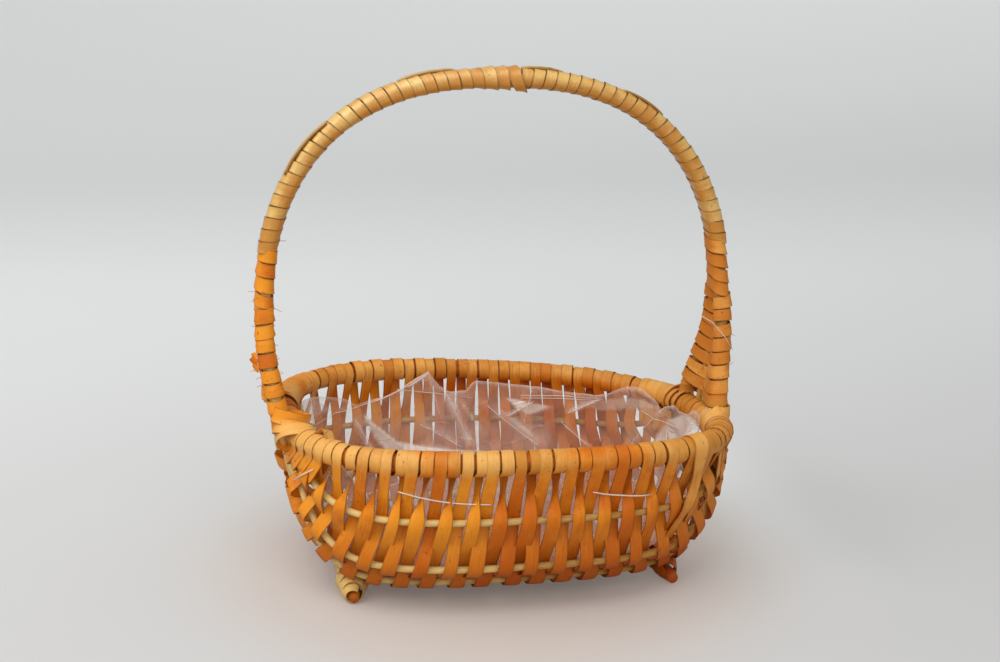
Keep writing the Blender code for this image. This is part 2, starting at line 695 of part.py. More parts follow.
def main():
    for item in list(bpy.data.objects):
        bpy.data.objects.remove(item, do_unlink=True)
    peeled = material("peeled_willow", (0.72, 0.55, 0.28), 0.55)
    stained = material("stained_splint", (0.68, 0.32, 0.08), 0.5)
    pale = material("pale_splint", (0.70, 0.48, 0.20), 0.5)
    dark = material("dark_wood", (0.35, 0.10, 0.03), 0.6)
    film = material("clear_film", (0.90, 0.82, 0.84), 0.15, 0.8)
    thread = material("white_thread", (0.85, 0.76, 0.66), 0.7)
    build_rim(peeled)
    build_ribs(peeled)
    build_splints(stained)
    build_skids(dark)
    build_knots(stained)
    build_handle_rods(peeled)
    build_lath(pale)
    build_windings(pale)
    build_fork_windings(stained)
    build_infill(peeled)
    build_left_lashings(stained)
    build_right_lashings(stained)
    build_liner(film)
    build_stitches(thread)


main()
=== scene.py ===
"""A splint foraging basket: ribbed body, forked arch handle and clear liner, dressed on its frame.

X runs along the basket, Y from its front to its back, Z up, in metres.
"""

import math
import random

import bmesh
import bpy
import numpy as np
from bpy.props import FloatProperty, FloatVectorProperty, IntProperty, PointerProperty
from bpy.types import Operator, Panel, PropertyGroup
from mathutils import Matrix, Vector, noise


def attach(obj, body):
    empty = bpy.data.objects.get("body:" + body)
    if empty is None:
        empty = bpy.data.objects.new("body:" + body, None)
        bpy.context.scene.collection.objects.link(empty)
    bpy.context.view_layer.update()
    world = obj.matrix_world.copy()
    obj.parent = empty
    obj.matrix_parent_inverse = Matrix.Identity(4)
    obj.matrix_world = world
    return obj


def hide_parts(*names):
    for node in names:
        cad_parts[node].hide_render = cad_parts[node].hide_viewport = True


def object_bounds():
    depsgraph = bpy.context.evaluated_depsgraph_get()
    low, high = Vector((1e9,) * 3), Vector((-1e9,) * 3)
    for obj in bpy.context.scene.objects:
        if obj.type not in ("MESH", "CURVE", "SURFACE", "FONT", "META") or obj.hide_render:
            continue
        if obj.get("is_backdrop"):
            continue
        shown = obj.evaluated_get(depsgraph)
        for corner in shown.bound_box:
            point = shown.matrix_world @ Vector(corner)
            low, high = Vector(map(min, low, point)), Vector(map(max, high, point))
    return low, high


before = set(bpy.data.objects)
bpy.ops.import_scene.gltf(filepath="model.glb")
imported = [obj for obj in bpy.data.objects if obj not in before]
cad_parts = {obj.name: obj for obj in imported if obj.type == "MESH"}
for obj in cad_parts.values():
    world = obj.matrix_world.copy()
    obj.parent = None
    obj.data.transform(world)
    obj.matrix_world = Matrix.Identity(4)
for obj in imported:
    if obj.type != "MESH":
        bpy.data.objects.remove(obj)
CAD_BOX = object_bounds()

bl_info = {
    "name": "Splint Foraging Basket",
    "version": (1, 0, 0),
    "blender": (4, 5, 0),
    "location": "3D View > Sidebar > Basket",
    "description": "Models a ribbed splint basket with a forked arch handle and a clear liner",
    "category": "Object",
}

RIGHTWARD = Vector((1, 0, 0))
BACKWARD = Vector((0, 1, 0))
UP = Vector((0, 0, 1))
BINDING_THICKNESS = 0.0007  # of the splints that are wound round rods and ends


def length(name, description, default):
    """A length property in metres."""
    return FloatProperty(name=name, description=description, default=default, min=0.0,
                         precision=4, subtype="DISTANCE", unit="LENGTH")


def number(name, description, default):
    """A plain number property."""
    return FloatProperty(name=name, description=description, default=default)


def share(name, description, default):
    """A property between zero and one."""
    return FloatProperty(name=name, description=description, default=default,
                         min=0.0, max=1.0, subtype="FACTOR")


def colour(name, description, default):
    """A linear colour property."""
    return FloatVectorProperty(name=name, description=description, default=default, size=3,
                               min=0.0, max=1.0, subtype="COLOR")


class BasketBodySettings(PropertyGroup):
    """Sizes of the rim, ribs and wall."""
    rim_half_length: length("Rim Half Length", "Half the length of the rim's middle line", 0.144)
    rim_half_width: length("Rim Half Width", "Half the width of the rim's middle line", 0.104)
    rim_height: length("Rim Height", "Height of the rim's middle line over the floor", 0.1065)
    wall_depth: length("Wall Depth", "Depth of the floor's middle below the rim", 0.0955)
    rim_skew: length("Rim Skew", "Sideways lean of the back rim against the front one", 0.012)
    rim_end_drop: length("Rim End Drop", "How far both ends of the rim hang", 0.004)
    rim_twist: length("Rim Twist", "How far the rim's back right corner hangs", 0.004)
    shift: length("Shift", "Place of the basket's middle along X", 0.003)
    plan_power: number("Plan Power", "Squareness of the rim seen from above", 2.6)
    section_power: number("Section Power", "Squareness of the wall's cross section", 4.6)
    end_power: number("End Power", "Steepness of the basket's ends", 9.0)
    end_slope_power: number("End Slope Power", "Roundness of the basket's ends", 1.35)
    left_bulge: length("Left Bulge", "How far the left end stands out halfway down", 0.004)
    rim_core_radius: length("Rim Core Radius", "Radius of the rod inside the rim", 0.0062)
    rim_wrap_radius: length("Rim Wrap Radius", "Radius at which splints turn round the rim", 0.0071)
    rib_radius: length("Rib Radius", "Radius of the ribs", 0.0023)
    rib_start: length("Rib Start", "Distance from the rim's end at which ribs begin", 0.024)
    rod_pale: colour("Rod Pale", "Lightest colour of the peeled rods", (0.74, 0.50, 0.17))
    rod_deep: colour("Rod Deep", "Darkest colour of the peeled rods", (0.46, 0.22, 0.04))


class BasketSplintSettings(PropertyGroup):
    """Sizes and colours of the woven splints."""
    pairs: IntProperty(name="Hairpins", description="Number of splint hairpins", default=20, min=2)
    first_run: length("First Run", "Distance of the first run from the rim's end", 0.048)
    width: length("Width", "Usual width of a splint", 0.0088)
    rim_width: length("Rim Width", "Width of a splint where it turns round the rim", 0.0077)
    thickness: length("Thickness", "Thickness of a splint", 0.0007)
    rib_lift: length("Rib Lift", "Distance of a splint's middle from the rib's middle", 0.0037)
    pale: colour("Pale", "Lightest colour of the stained splints", (0.82, 0.285, 0.012))
    deep: colour("Deep", "Darkest colour of the stained splints", (0.60, 0.13, 0.001))
    # Worn: on the rim this colour is partly wear, partly a painted highlight
    worn: colour("Worn", "Colour of the splints where they are worn over the rim", (0.80, 0.41, 0.10))
    # Low: painted shade of the splints near the floor
    low: colour("Low", "Colour of the splints near the floor", (0.40, 0.06, 0.0))


class BasketHandleSettings(PropertyGroup):
    """Sizes and colours of the handle."""
    half_span: length("Half Span", "Half the width of the arch's middle line", 0.155)
    rise: length("Rise", "Rise of the arch over its springing", 0.1635)
    spring_height: length("Spring Height", "Height of the arch's springing", 0.168)
    arch_power: number("Arch Power", "Squareness of the arch", 2.45)
    rod_radius: length("Rod Radius", "Radius of the two handle rods", 0.00425)
    rod_gap: length("Rod Gap", "Gap between the two rods", 0.0004)
    fork_height: length("Fork Height", "Height at which the rods part", 0.212)
    fork_power: number("Fork Power", "How late the legs spread", 1.5)
    leg_spread: length("Leg Spread", "Half the distance between the feet of a fork", 0.029)
    leg_tail: length("Leg Tail", "Reach of the front left leg below the rim's middle", 0.009)
    left_leg_outward: length("Left Leg Outward", "Distance of a left leg from the rim's middle", 0.01105)
    back_leg_shift: length("Back Leg Shift", "How much nearer to the rim the back left leg stands", 0.0035)
    right_leg_outward: length("Right Leg Outward", "Distance of a right leg from the rim's middle", 0.002)
    winding_height: length("Winding Height", "Height of the arch winding's lower ends", 0.216)
    loops: IntProperty(name="Loops", description="Loops of the winding on each half", default=26, min=2)
    lath_thickness: length("Lath Thickness", "Thickness of the filler lath", 0.002)
    pale: colour("Pale", "Lightest colour of the handle's winding", (0.79, 0.505, 0.145))
    deep: colour("Deep", "Darkest colour of the handle's winding", (0.60, 0.24, 0.02))


class BasketLinerSettings(PropertyGroup):
    """Sizes and colours of the clear liner and its stitches."""
    side_inset: length("Side Inset", "Distance of the film from the rim's middle line", 0.0096)
    floor_inset: length("Floor Inset", "Distance of the film from the ribs on the floor", 0.0055)
    thickness: length("Thickness", "Thickness of the film", 0.00016)
    crumple: length("Crumple", "Depth of the film's small folds", 0.0022)
    film: colour("Film", "Tint of the film", (1.0, 0.84, 0.73))
    veil: share("Veil", "How much the film hides where it is seen squarely", 0.06)
    thread_radius: length("Thread Radius", "Radius of the stitching thread", 0.00045)
    thread: colour("Thread", "Colour of the stitching thread", (0.83, 0.74, 0.62))


class BasketStudioSettings(PropertyGroup):
    """Camera, floor and lamps."""
    lens: number("Lens", "Focal length on a sensor 36 mm wide", 54.0)
    distance: length("Distance", "Distance of the camera from what it looks at", 1.014)
    aim: FloatVectorProperty(name="Aim", description="Point that the camera looks at",
                             default=(0.0025, 0.0, 0.163), size=3, subtype="XYZ_LENGTH", unit="LENGTH")
    elevation: FloatProperty(name="Elevation", description="Height angle of the camera",
                             default=math.radians(15.0), subtype="ANGLE", unit="ROTATION")
    azimuth: FloatProperty(name="Azimuth", description="Angle of the camera round the basket",
                           default=math.radians(-10.54), subtype="ANGLE", unit="ROTATION")
    roll: FloatProperty(name="Roll", description="Tilt of the camera about its own axis",
                        default=math.radians(0.92), subtype="ANGLE", unit="ROTATION")
    floor: colour("Floor", "Colour of the floor", (0.51, 0.505, 0.495))
    backdrop: colour("Backdrop", "Colour of the backdrop far behind the basket", (0.70, 0.71, 0.70))
    key_power: FloatProperty(name="Key Power", description="Power of the large lamp", default=26.0)
    fill_power: FloatProperty(name="Fill Power", description="Power of the weak lamp", default=9.0)
    world_level: number("World Level", "Strength of the even light from all sides", 0.46)


# Helpers for lines

def unit(rows):
    """Rows of vectors, each made one long."""
    return rows / np.maximum(np.linalg.norm(rows, axis=-1, keepdims=True), 1e-12)


def running_lengths(points):
    """Length along a line of points, from its first point."""
    steps = np.linalg.norm(np.diff(points, axis=0), axis=1)
    return np.concatenate([[0.0], np.cumsum(steps)])


def signed_power(value, exponent):
    """Power of the size of a value, with its sign kept."""
    return math.copysign(abs(value) ** exponent, value)


def eased(value):
    """A value between zero and one, eased at both ends."""
    value = min(1.0, max(0.0, value))
    return value * value * (3.0 - 2.0 * value)


def swung(first, second, angle):
    """Way that turns from the first direction to the second, by an angle in radians."""
    return first * math.cos(angle) + second * math.sin(angle)


def between_entries(values, index, part):
    """Value between one entry of a list and the next."""
    return values[index] * (1 - part) + values[index + 1] * part


def draws(rng, low, high, count):
    """A list of random numbers."""
    return [rng.uniform(low, high) for _ in range(count)]


def smoothed(stations, spacing):
    """Rows (point, side, width, crown, tone) of a smooth line through the stations."""
    rows = np.array([[*station[0], *station[1], *station[2:]] for station in stations], dtype=float)
    points = rows[:, :3]
    steps = np.linalg.norm(np.diff(points, axis=0), axis=1)
    times = np.concatenate([[0.0], np.cumsum(np.sqrt(np.maximum(steps, 1e-6)))])
    spans = np.diff(times)[:, None]
    slopes = np.diff(rows, axis=0) / spans
    tangents = np.empty_like(rows)
    tangents[0] = slopes[0]
    tangents[-1] = slopes[-1]
    tangents[1:-1] = (slopes[:-1] * spans[1:] + slopes[1:] * spans[:-1]) / (spans[:-1] + spans[1:])
    made = []
    for index, step in enumerate(steps):
        count = max(1, round(step / spacing))
        span = spans[index, 0]
        for part in range(count):
            t = part / count
            made.append(rows[index] * (2 * t ** 3 - 3 * t ** 2 + 1) + rows[index + 1] * (3 * t ** 2 - 2 * t ** 3)
                        + tangents[index] * span * (t ** 3 - 2 * t ** 2 + t)
                        + tangents[index + 1] * span * (t ** 3 - t ** 2))
    made.append(rows[-1])
    return np.array(made)


# The basket's wall

class Wall:
    """The basket's wall as lines that run from its left end to its right one."""

    STEPS = 240  # along each line
    REACH = 0.012  # share of a line on either side that gives its direction
    TURN_STEP = math.radians(0.1)
    RIB_DEPTHS = (0.41, 0.77, 0.935)  # shares of the wall's depth at which its ribs run
    KEEL_RIB_WIDTH = 0.32  # share of the half width at which the lowest rib runs

    def __init__(self, body):
        self.body = body
        self.lines = {}

    def plan_width_share(self, length_share):
        """Share of the rim's half width at a share of its half length."""
        power = self.body.plan_power
        return max(0.0, 1.0 - abs(length_share) ** power) ** (1.0 / power)

    def keel_depth_share(self, length_share):
        """Share of the wall's depth at a share of its half length."""
        return max(0.0, 1.0 - abs(length_share) ** self.body.end_power) ** (1.0 / self.body.end_slope_power)

    def leaned(self, x, y, depth):
        """Point of the basket with its handmade skew, drop and twist, which fade to the floor."""
        body = self.body
        top_share = 1.0 - depth / body.wall_depth
        length_share = x / body.rim_half_length
        width_share = y / body.rim_half_width
        bulge = body.left_bulge * max(0.0, -length_share) ** 3 * 4.0 * top_share * (1.0 - top_share)
        lift = -body.rim_end_drop * length_share ** 2 - body.rim_twist * length_share * (1.0 + width_share)
        return Vector((body.shift + x - bulge - body.rim_skew * width_share * top_share, y,
                       body.rim_height - depth + lift * top_share))

    def point(self, length_share, turn):
        """Point of the wall; turn goes from 0 at the front rim to pi at the back one."""
        power = 2.0 / self.body.section_power
        across = signed_power(math.cos(turn), power)
        down = max(0.0, math.sin(turn)) ** power
        y = -self.body.rim_half_width * self.plan_width_share(length_share) * across
        depth = self.body.wall_depth * self.keel_depth_share(length_share) * down
        return self.leaned(self.body.rim_half_length * length_share, y, depth)

    def line(self, turn):
        """Running lengths and points of one line, worked out once."""
        key = round(turn, 6)
        if key not in self.lines:
            shares = [math.sin(math.pi * (step / self.STEPS - 0.5)) for step in range(self.STEPS + 1)]
            points = np.array([self.point(length_share, turn) for length_share in shares])
            self.lines[key] = running_lengths(points), points
        return self.lines[key]

    def length(self, turn):
        """Length of one line."""
        return self.line(turn)[0][-1]

    def along(self, turn, run_share):
        """Point that lies run_share of the way along one line."""
        lengths, points = self.line(turn)
        place = run_share * lengths[-1]
        return Vector([np.interp(place, lengths, points[:, axis]) for axis in range(3)])

    def heading(self, turn, run_share):
        """Direction along one line."""
        ahead = self.along(turn, min(1.0, run_share + self.REACH))
        return (ahead - self.along(turn, max(0.0, run_share - self.REACH))).normalized()

    def frame(self, turn, run_share):
        """Point, direction along the line and outward direction of the wall."""
        along = self.heading(turn, run_share)
        across = self.along(turn + self.TURN_STEP, run_share) - self.along(turn - self.TURN_STEP, run_share)
        return self.along(turn, run_share), along, across.cross(along).normalized()

    def rim_frame(self, back, run_share):
        """Point of the rim, direction along it and level outward direction."""
        turn = math.pi if back else 0.0
        along = self.heading(turn, run_share)
        outward = along.cross(UP).normalized()
        return self.along(turn, run_share), along, -outward if back else outward

    def rim_end_point(self, side, y):
        """Middle of the rim at one end of the basket, at a distance from the middle plane."""
        width_share = abs(y) / self.body.rim_half_width
        length_share = self.plan_width_share(width_share)
        return self.leaned(side * self.body.rim_half_length * length_share, y, 0.0)

    def turn_at(self, depth_share):
        """Turn of the front line that runs a share of the way down the wall."""
        return math.asin(depth_share ** (self.body.section_power / 2))

    def rib_turns(self):
        """Turns of the eight ribs, from the front rim to the back one."""
        turns = [self.turn_at(depth_share) for depth_share in self.RIB_DEPTHS]
        turns.append(math.acos(self.KEEL_RIB_WIDTH ** (self.body.section_power / 2)))
        return turns + [math.pi - turn for turn in reversed(turns)]


# Mesh helpers

def bent_grid(columns, rows, place):
    """A grid whose vertices place() moves; place takes (column, row) and gives (point, uv, tone)."""
    shape = bmesh.new()
    bmesh.ops.create_grid(shape, x_segments=columns, y_segments=rows, size=0.5)
    uv = shape.loops.layers.uv.new("grain")
    tone = shape.verts.layers.float.new("tone")
    placed = {}
    for vert in shape.verts:
        key = round((vert.co.x + 0.5) * columns), round((vert.co.y + 0.5) * rows)
        placed[vert] = place(*key)
    for face in shape.faces:
        for loop in face.loops:
            loop[uv].uv = placed[loop.vert][1]
    for vert, (point, _, value) in placed.items():
        vert.co = point
        vert[tone] = value
    return shape


def finish_piece(name, shape, surface, replaced=(), recalculate=False):
    """Turns a bmesh into a smooth piece that rides on the basket."""
    if recalculate:
        bmesh.ops.recalc_face_normals(shape, faces=shape.faces)
    mesh = bpy.data.meshes.new(name)
    shape.to_mesh(mesh)
    shape.free()
    mesh.materials.append(surface)
    for face in mesh.polygons:
        face.use_smooth = True
    piece = bpy.data.objects.new(name, mesh)
    bpy.context.scene.collection.objects.link(piece)
    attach(piece, "root")
    if replaced:
        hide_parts(*replaced)
    return piece


def thicken(piece, thickness, even=True):
    """Solidify modifier that puts half the thickness on either side."""
    wall = piece.modifiers.new("Thickness", "SOLIDIFY")
    wall.thickness = thickness
    wall.offset = 0.0
    wall.use_even_offset = even
    return piece


ACROSS = (-0.5, -0.455, -0.22, 0.0, 0.22, 0.455, 0.5)  # places of a splint's rows, as shares of its width
GRAIN_PER_METRE = 10.0


def strip_shape(stations, spacing):
    """Flat splint through stations (point, side, width, crown, tone)."""
    rows = smoothed(stations, spacing)
    points = rows[:, :3]
    tangents = unit(np.gradient(points, axis=0))
    normals = unit(np.cross(rows[:, 3:6], tangents))
    sides = np.cross(tangents, normals)
    lengths = running_lengths(points)

    def place(column, row):
        across = ACROSS[row]
        width, crown, tone = rows[column, 6:9]
        lift = crown * (1.0 - 4.0 * across * across)
        point = points[column] + sides[column] * (across * width) + normals[column] * lift
        return Vector(point), (across + 0.5, lengths[column] * GRAIN_PER_METRE), tone

    return bent_grid(len(rows) - 1, len(ACROSS) - 1, place)


def strip(name, stations, spacing, thickness, surface, replaced=()):
    """Flat splint as a finished piece."""
    return thicken(finish_piece(name, strip_shape(stations, spacing), surface, replaced), thickness)


def joined(shapes):
    """One bmesh that holds several, which are freed."""
    mesh = bpy.data.meshes.new("joining")
    whole = shapes[0]
    for shape in shapes[1:]:
        shape.to_mesh(mesh)
        shape.free()
        whole.from_mesh(mesh)
    bpy.data.meshes.remove(mesh)
    return whole


def tube_shape(points, radius, reference, tone=0.0, sides=12, closed=False, wobble=0.0, seed=0.0):
    """Round rod along points, with slightly rounded ends, or a closed hoop."""
    points = np.array([tuple(point) for point in points], dtype=float)
    if closed:
        tangents = unit(np.roll(points, -1, axis=0) - np.roll(points, 1, axis=0))
        points = np.vstack([points, points[:1]])
        tangents = np.vstack([tangents, tangents[:1]])
    else:
        tangents = unit(np.gradient(points, axis=0))
    first = unit(np.cross(tangents, np.array(reference, dtype=float)))
    second = np.cross(tangents, first)
    lengths = running_lengths(points)
    last = len(points) - 1

    def place(column, row):
        angle = 2.0 * math.pi * row / sides
        size = radius * (1.0 + wobble * noise.noise(Vector((lengths[column] * 60.0, seed, 0.5))))
        if not closed and column in (0, last):
            size *= 0.8
        point = points[column] + (first[column] * math.cos(angle) + second[column] * math.sin(angle)) * size
        return Vector(point), (row / sides, lengths[column] * GRAIN_PER_METRE), tone

    shape = bent_grid(last, sides, place)
    bmesh.ops.remove_doubles(shape, verts=shape.verts, dist=1e-7)
    if not closed:
        open_edges = [edge for edge in shape.edges if edge.is_boundary]
        bmesh.ops.holes_fill(shape, edges=open_edges, sides=0)
    bmesh.ops.recalc_face_normals(shape, faces=shape.faces)
    return shape


# Materials

class Surface:
    """A Principled material whose nodes are added by short calls."""

    def __init__(self, name):
        self.material = bpy.data.materials.new(name)
        self.material.use_nodes = True
        self.nodes = self.material.node_tree.nodes
        self.links = self.material.node_tree.links
        self.shader = self.nodes["Principled BSDF"]

    def node(self, kind, values=(), **settings):
        """A node with its inputs set or linked, and its settings."""
        made = self.nodes.new(kind)
        for key, value in settings.items():
            setattr(made, key, value)
        for key, value in dict(values).items():
            if isinstance(value, bpy.types.NodeSocket):
                self.links.new(value, made.inputs[key])
            else:
                made.inputs[key].default_value = value
        return made

    def math(self, operation, first, second=0.0, clamp=False):
        """Result of one calculation."""
        made = self.node("ShaderNodeMath", {0: first, 1: second}, operation=operation, use_clamp=clamp)
        return made.outputs[0]

    def times(self, value, *factors, clamp=False):
        """A value times each factor in turn."""
        for factor in factors:
            value = self.math("MULTIPLY", value, factor, clamp)
        return value

    def added(self, value, more, factor, clamp=False):
        """A value plus another one times a factor."""
        return self.math("ADD", value, self.times(more, factor), clamp)

    def axes(self, vector):
        """The X, Y and Z of a vector."""
        return self.node("ShaderNodeSeparateXYZ", {0: vector}).outputs

    def fit(self, value, low, high, to_low=0.0, to_high=1.0, smooth=True):
        """A value brought from one range to another."""
        kind = "SMOOTHSTEP" if smooth else "LINEAR"
        made = self.node("ShaderNodeMapRange", {"Value": value, "From Min": low, "From Max": high,
                                                "To Min": to_low, "To Max": to_high},
                         interpolation_type=kind)
        return made.outputs["Result"]

    def mix(self, factor, first, second):
        """A colour between two."""
        made = self.node("ShaderNodeMix", {0: factor, 6: first, 7: second}, data_type="RGBA")
        return made.outputs[2]

    def noise(self, vector, scale, detail=3.0, roughness=0.55, distortion=0.0):
        """Cloudy noise, about a half."""
        made = self.node("ShaderNodeTexNoise", {"Vector": vector, "Scale": scale, "Detail": detail,
                                                "Roughness": roughness, "Distortion": distortion})
        return made.outputs["Fac"]

    def mapped(self, vector, scale):
        """A vector scaled on each axis."""
        return self.node("ShaderNodeMapping", {"Vector": vector, "Scale": scale}).outputs["Vector"]

    def bump(self, height, distance, strength=1.0):
        """Relief on the shader's normal."""
        made = self.node("ShaderNodeBump", {"Height": height, "Distance": distance, "Strength": strength})
        self.links.new(made.outputs["Normal"], self.shader.inputs["Normal"])

    def set(self, name, value):
        """Sets or links one input of the shader."""
        socket = self.shader.inputs[name]
        if isinstance(value, bpy.types.NodeSocket):
            self.links.new(value, socket)
        else:
            socket.default_value = value


def rgba(values):
    """A colour with full alpha."""
    return (*values, 1.0)


GRAIN_SCALE = (9.0, 2.6, 1.0)  # of the noise across, along and through a splint
LOW_COLOUR_HEIGHTS = (0.012, 0.07)  # between which the splints' painted shade near the floor fades
RUBBED_SHADE = (0.74, 0.56, 0.26)  # of the worn colour, where the grain is dark
RIM_HEIGHTS = (0.096, 0.107), (0.114, 0.12)  # between which the splints are paler on the rim: partly wear, partly painted highlight
DARKEST = 0.3  # of the deep colour, at edges, streaks and specks


def wood_surface(name, pale, deep, low=None, worn=None, edge=0.55, roughness=(0.36, 0.56), bump=0.00016,
                 gloss=0.24, rightward_stain_and_shade=0.0, under=0.0):
    """Splint or rod with long grain, blotches and darker edges, and painted shade that deepens it lower down and, with
    its own deeper colour, towards the right.
    """
    surface = Surface(name)
    fit, times, added = surface.fit, surface.times, surface.added
    place = surface.node("ShaderNodeTexCoord").outputs["Object"]
    grain_map = surface.node("ShaderNodeUVMap", uv_map="grain").outputs["UV"]
    tone = surface.node("ShaderNodeAttribute", attribute_name="tone").outputs["Fac"]
    fine = surface.noise(surface.mapped(grain_map, GRAIN_SCALE), 2.6, 4.0, 0.62, 0.4)
    broad = surface.noise(place, 75.0, 3.0, 0.6)
    patch = surface.noise(place, 22.0, 2.0, 0.5)
    side, back, height = surface.axes(place)
    shade = added(added(times(fine, 0.55), broad, 0.6), patch, 0.25)
    shade = surface.math("ADD", shade, tone)
    # Darker towards the right end and paler at the left: partly the wood stained deeper there, partly painted shade
    # where the light falls off to the right.
    shade = surface.math("ADD", shade, fit(side, -0.14, 0.12, -0.6 * rightward_stain_and_shade, rightward_stain_and_shade))
    # Painted shade on faces that point down and painted light on faces that point up, by the height of the world
    # normal.
    if under:
        facing = surface.axes(surface.node("ShaderNodeNewGeometry").outputs["Normal"])["Z"]
        shade = surface.math("ADD", shade, fit(facing, -0.5, 0.6, under, -0.3 * under))
    blend = fit(shade, 0.47, 0.92)
    base = surface.mix(blend, rgba(pale), rgba(deep))
    if low is not None:
        # Painted shade: the colour deepens towards the floor, where the wall lies in shade.
        depth = added(height, surface.math("SUBTRACT", broad, 0.5), 0.03)
        base = surface.mix(fit(depth, *LOW_COLOUR_HEIGHTS, 0.75, 0.0), base, rgba(low))
        # Paler rim, in patches and along the back: partly wear, partly a painted highlight on the rim's upper half.
        rubbed = surface.mix(blend, rgba(worn), rgba([a * b for a, b in zip(worn, RUBBED_SHADE)]))
        on_rim = times(fit(height, *RIM_HEIGHTS[0]), fit(height, *RIM_HEIGHTS[1], 1.0, 0.0))
        rim_wear_and_highlight = surface.math("MAXIMUM", fit(patch, 0.62, 0.42), fit(back, 0.03, 0.09, 0.0, 0.7))
        base = surface.mix(times(on_rim, rim_wear_and_highlight), base, rubbed)
        right_corner = times(fit(side, 0.085, 0.125, 0.0, 0.6), fit(height, 0.03, 0.07))
        base = surface.mix(right_corner, base, rubbed)
    across = surface.axes(grain_map)["X"]
    from_middle = surface.math("ABSOLUTE", surface.math("SUBTRACT", across, 0.5))
    edge_place = added(from_middle, surface.math("SUBTRACT", fine, 0.5), 0.12)
    dark_edge = times(fit(edge_place, 0.42, 0.5), edge)
    streak = times(fit(fine, 0.56, 0.74), 0.42)
    speck = times(fit(surface.noise(place, 380.0, 2.0, 0.5), 0.69, 0.75), 0.65)
    darkness = surface.math("MAXIMUM", surface.math("MAXIMUM", dark_edge, streak), speck)
    surface.set("Base Color", surface.mix(darkness, base, rgba([DARKEST * value for value in deep])))
    surface.set("Roughness", fit(shade, 0.3, 1.1, *roughness, smooth=False))
    surface.set("Specular IOR Level", gloss)
    surface.bump(added(fine, broad, 0.35), bump)
    return surface.material


def film_surface(settings):
    """Clear crinkled film with a faint tint, whiter at its creases and where seen edgewise, and with painted
    highlights that whiten it along creases, patches and its top edge.
    """
    surface = Surface("bag_film")
    place = surface.node("ShaderNodeTexCoord").outputs["Object"]
    painted_sheen = surface.node("ShaderNodeAttribute", attribute_name="tone").outputs["Fac"]
    wander = surface.node("ShaderNodeTexNoise", {"Vector": place, "Scale": 24.0, "Detail": 2.0})
    shift = surface.node("ShaderNodeVectorMath", {0: wander.outputs["Color"], 3: 0.03}, operation="SCALE")
    warped = surface.node("ShaderNodeVectorMath", {0: place, 1: shift.outputs[0]}, operation="ADD").outputs[0]
    cells, small_cells = [surface.node("ShaderNodeTexVoronoi", {"Vector": warped, "Scale": scale},
                                       feature="DISTANCE_TO_EDGE").outputs["Distance"] for scale in (38.0, 110.0)]
    crease = surface.fit(cells, 0.0, 0.03, 1.0, 0.0)
    fine_crease = surface.fit(small_cells, 0.0, 0.03, 0.5, 0.0)
    cloudy = surface.fit(surface.noise(place, 17.0, 3.0, 0.6), 0.45, 0.7)
    edgewise = surface.node("ShaderNodeLayerWeight", {"Blend": 0.25}).outputs["Facing"]
    veil = surface.added(settings.veil, edgewise, 0.2)
    veil = surface.added(surface.added(veil, crease, 0.05), cloudy, 0.15)
    # Painted highlights: the tone attribute makes the film less clear and whiter.
    veil = surface.added(veil, surface.math("POWER", painted_sheen, 2.0), 0.68, clamp=True)
    whitened = surface.mix(surface.times(painted_sheen, 0.6, clamp=True), rgba(settings.film), rgba((1.0, 0.94, 0.87)))
    surface.set("Base Color", whitened)
    surface.set("Roughness", 0.12)
    surface.set("Specular IOR Level", 0.9)
    surface.set("Alpha", veil)
    height = surface.math("ADD", surface.times(crease, 0.8), fine_crease)
    surface.bump(surface.math("ADD", height, surface.noise(place, 60.0, 3.0, 0.55)), 0.0009, 0.6)
    return surface.material


def thread_surface(settings):
    """Pale twisted thread."""
    surface = Surface("sewing_thread")
    grain = surface.node("ShaderNodeUVMap", uv_map="grain").outputs["UV"]
    twist = surface.node("ShaderNodeTexWave", {"Vector": surface.mapped(grain, (1.0, 60.0, 1.0)), "Scale": 1.0,
                                               "Distortion": 0.6}, bands_direction="DIAGONAL").outputs["Fac"]
    surface.set("Base Color", surface.mix(twist, rgba(settings.thread), rgba([v * 0.75 for v in settings.thread])))
    surface.set("Roughness", 0.55)
    surface.bump(twist, 0.0001)
    return surface.material


def surfaces(scene):
    """The basket's materials, made once."""
    made = {material.name: material for material in bpy.data.materials}
    body, splints, handle = scene.basket_body, scene.basket_splints, scene.basket_handle
    if "peeled_rod" not in made:
        wood_surface("peeled_rod", body.rod_pale, body.rod_deep, edge=0.0, bump=0.00008, rightward_stain_and_shade=0.3)
        wood_surface("woven_wood", splints.pale, splints.deep, splints.low, splints.worn, rightward_stain_and_shade=0.14)
        wood_surface("winding_wood", handle.pale, handle.deep, edge=0.75, roughness=(0.22, 0.38), gloss=0.7,
                     under=0.2)
        wood_surface("foot_wood", (0.56, 0.11, 0.012), (0.34, 0.045, 0.004), edge=0.0)
        wood_surface("rim_core", splints.deep, tuple(0.35 * value for value in splints.deep), edge=0.0)
        film_surface(scene.basket_liner)
        thread_surface(scene.basket_liner)
    return bpy.data.materials


# Pieces

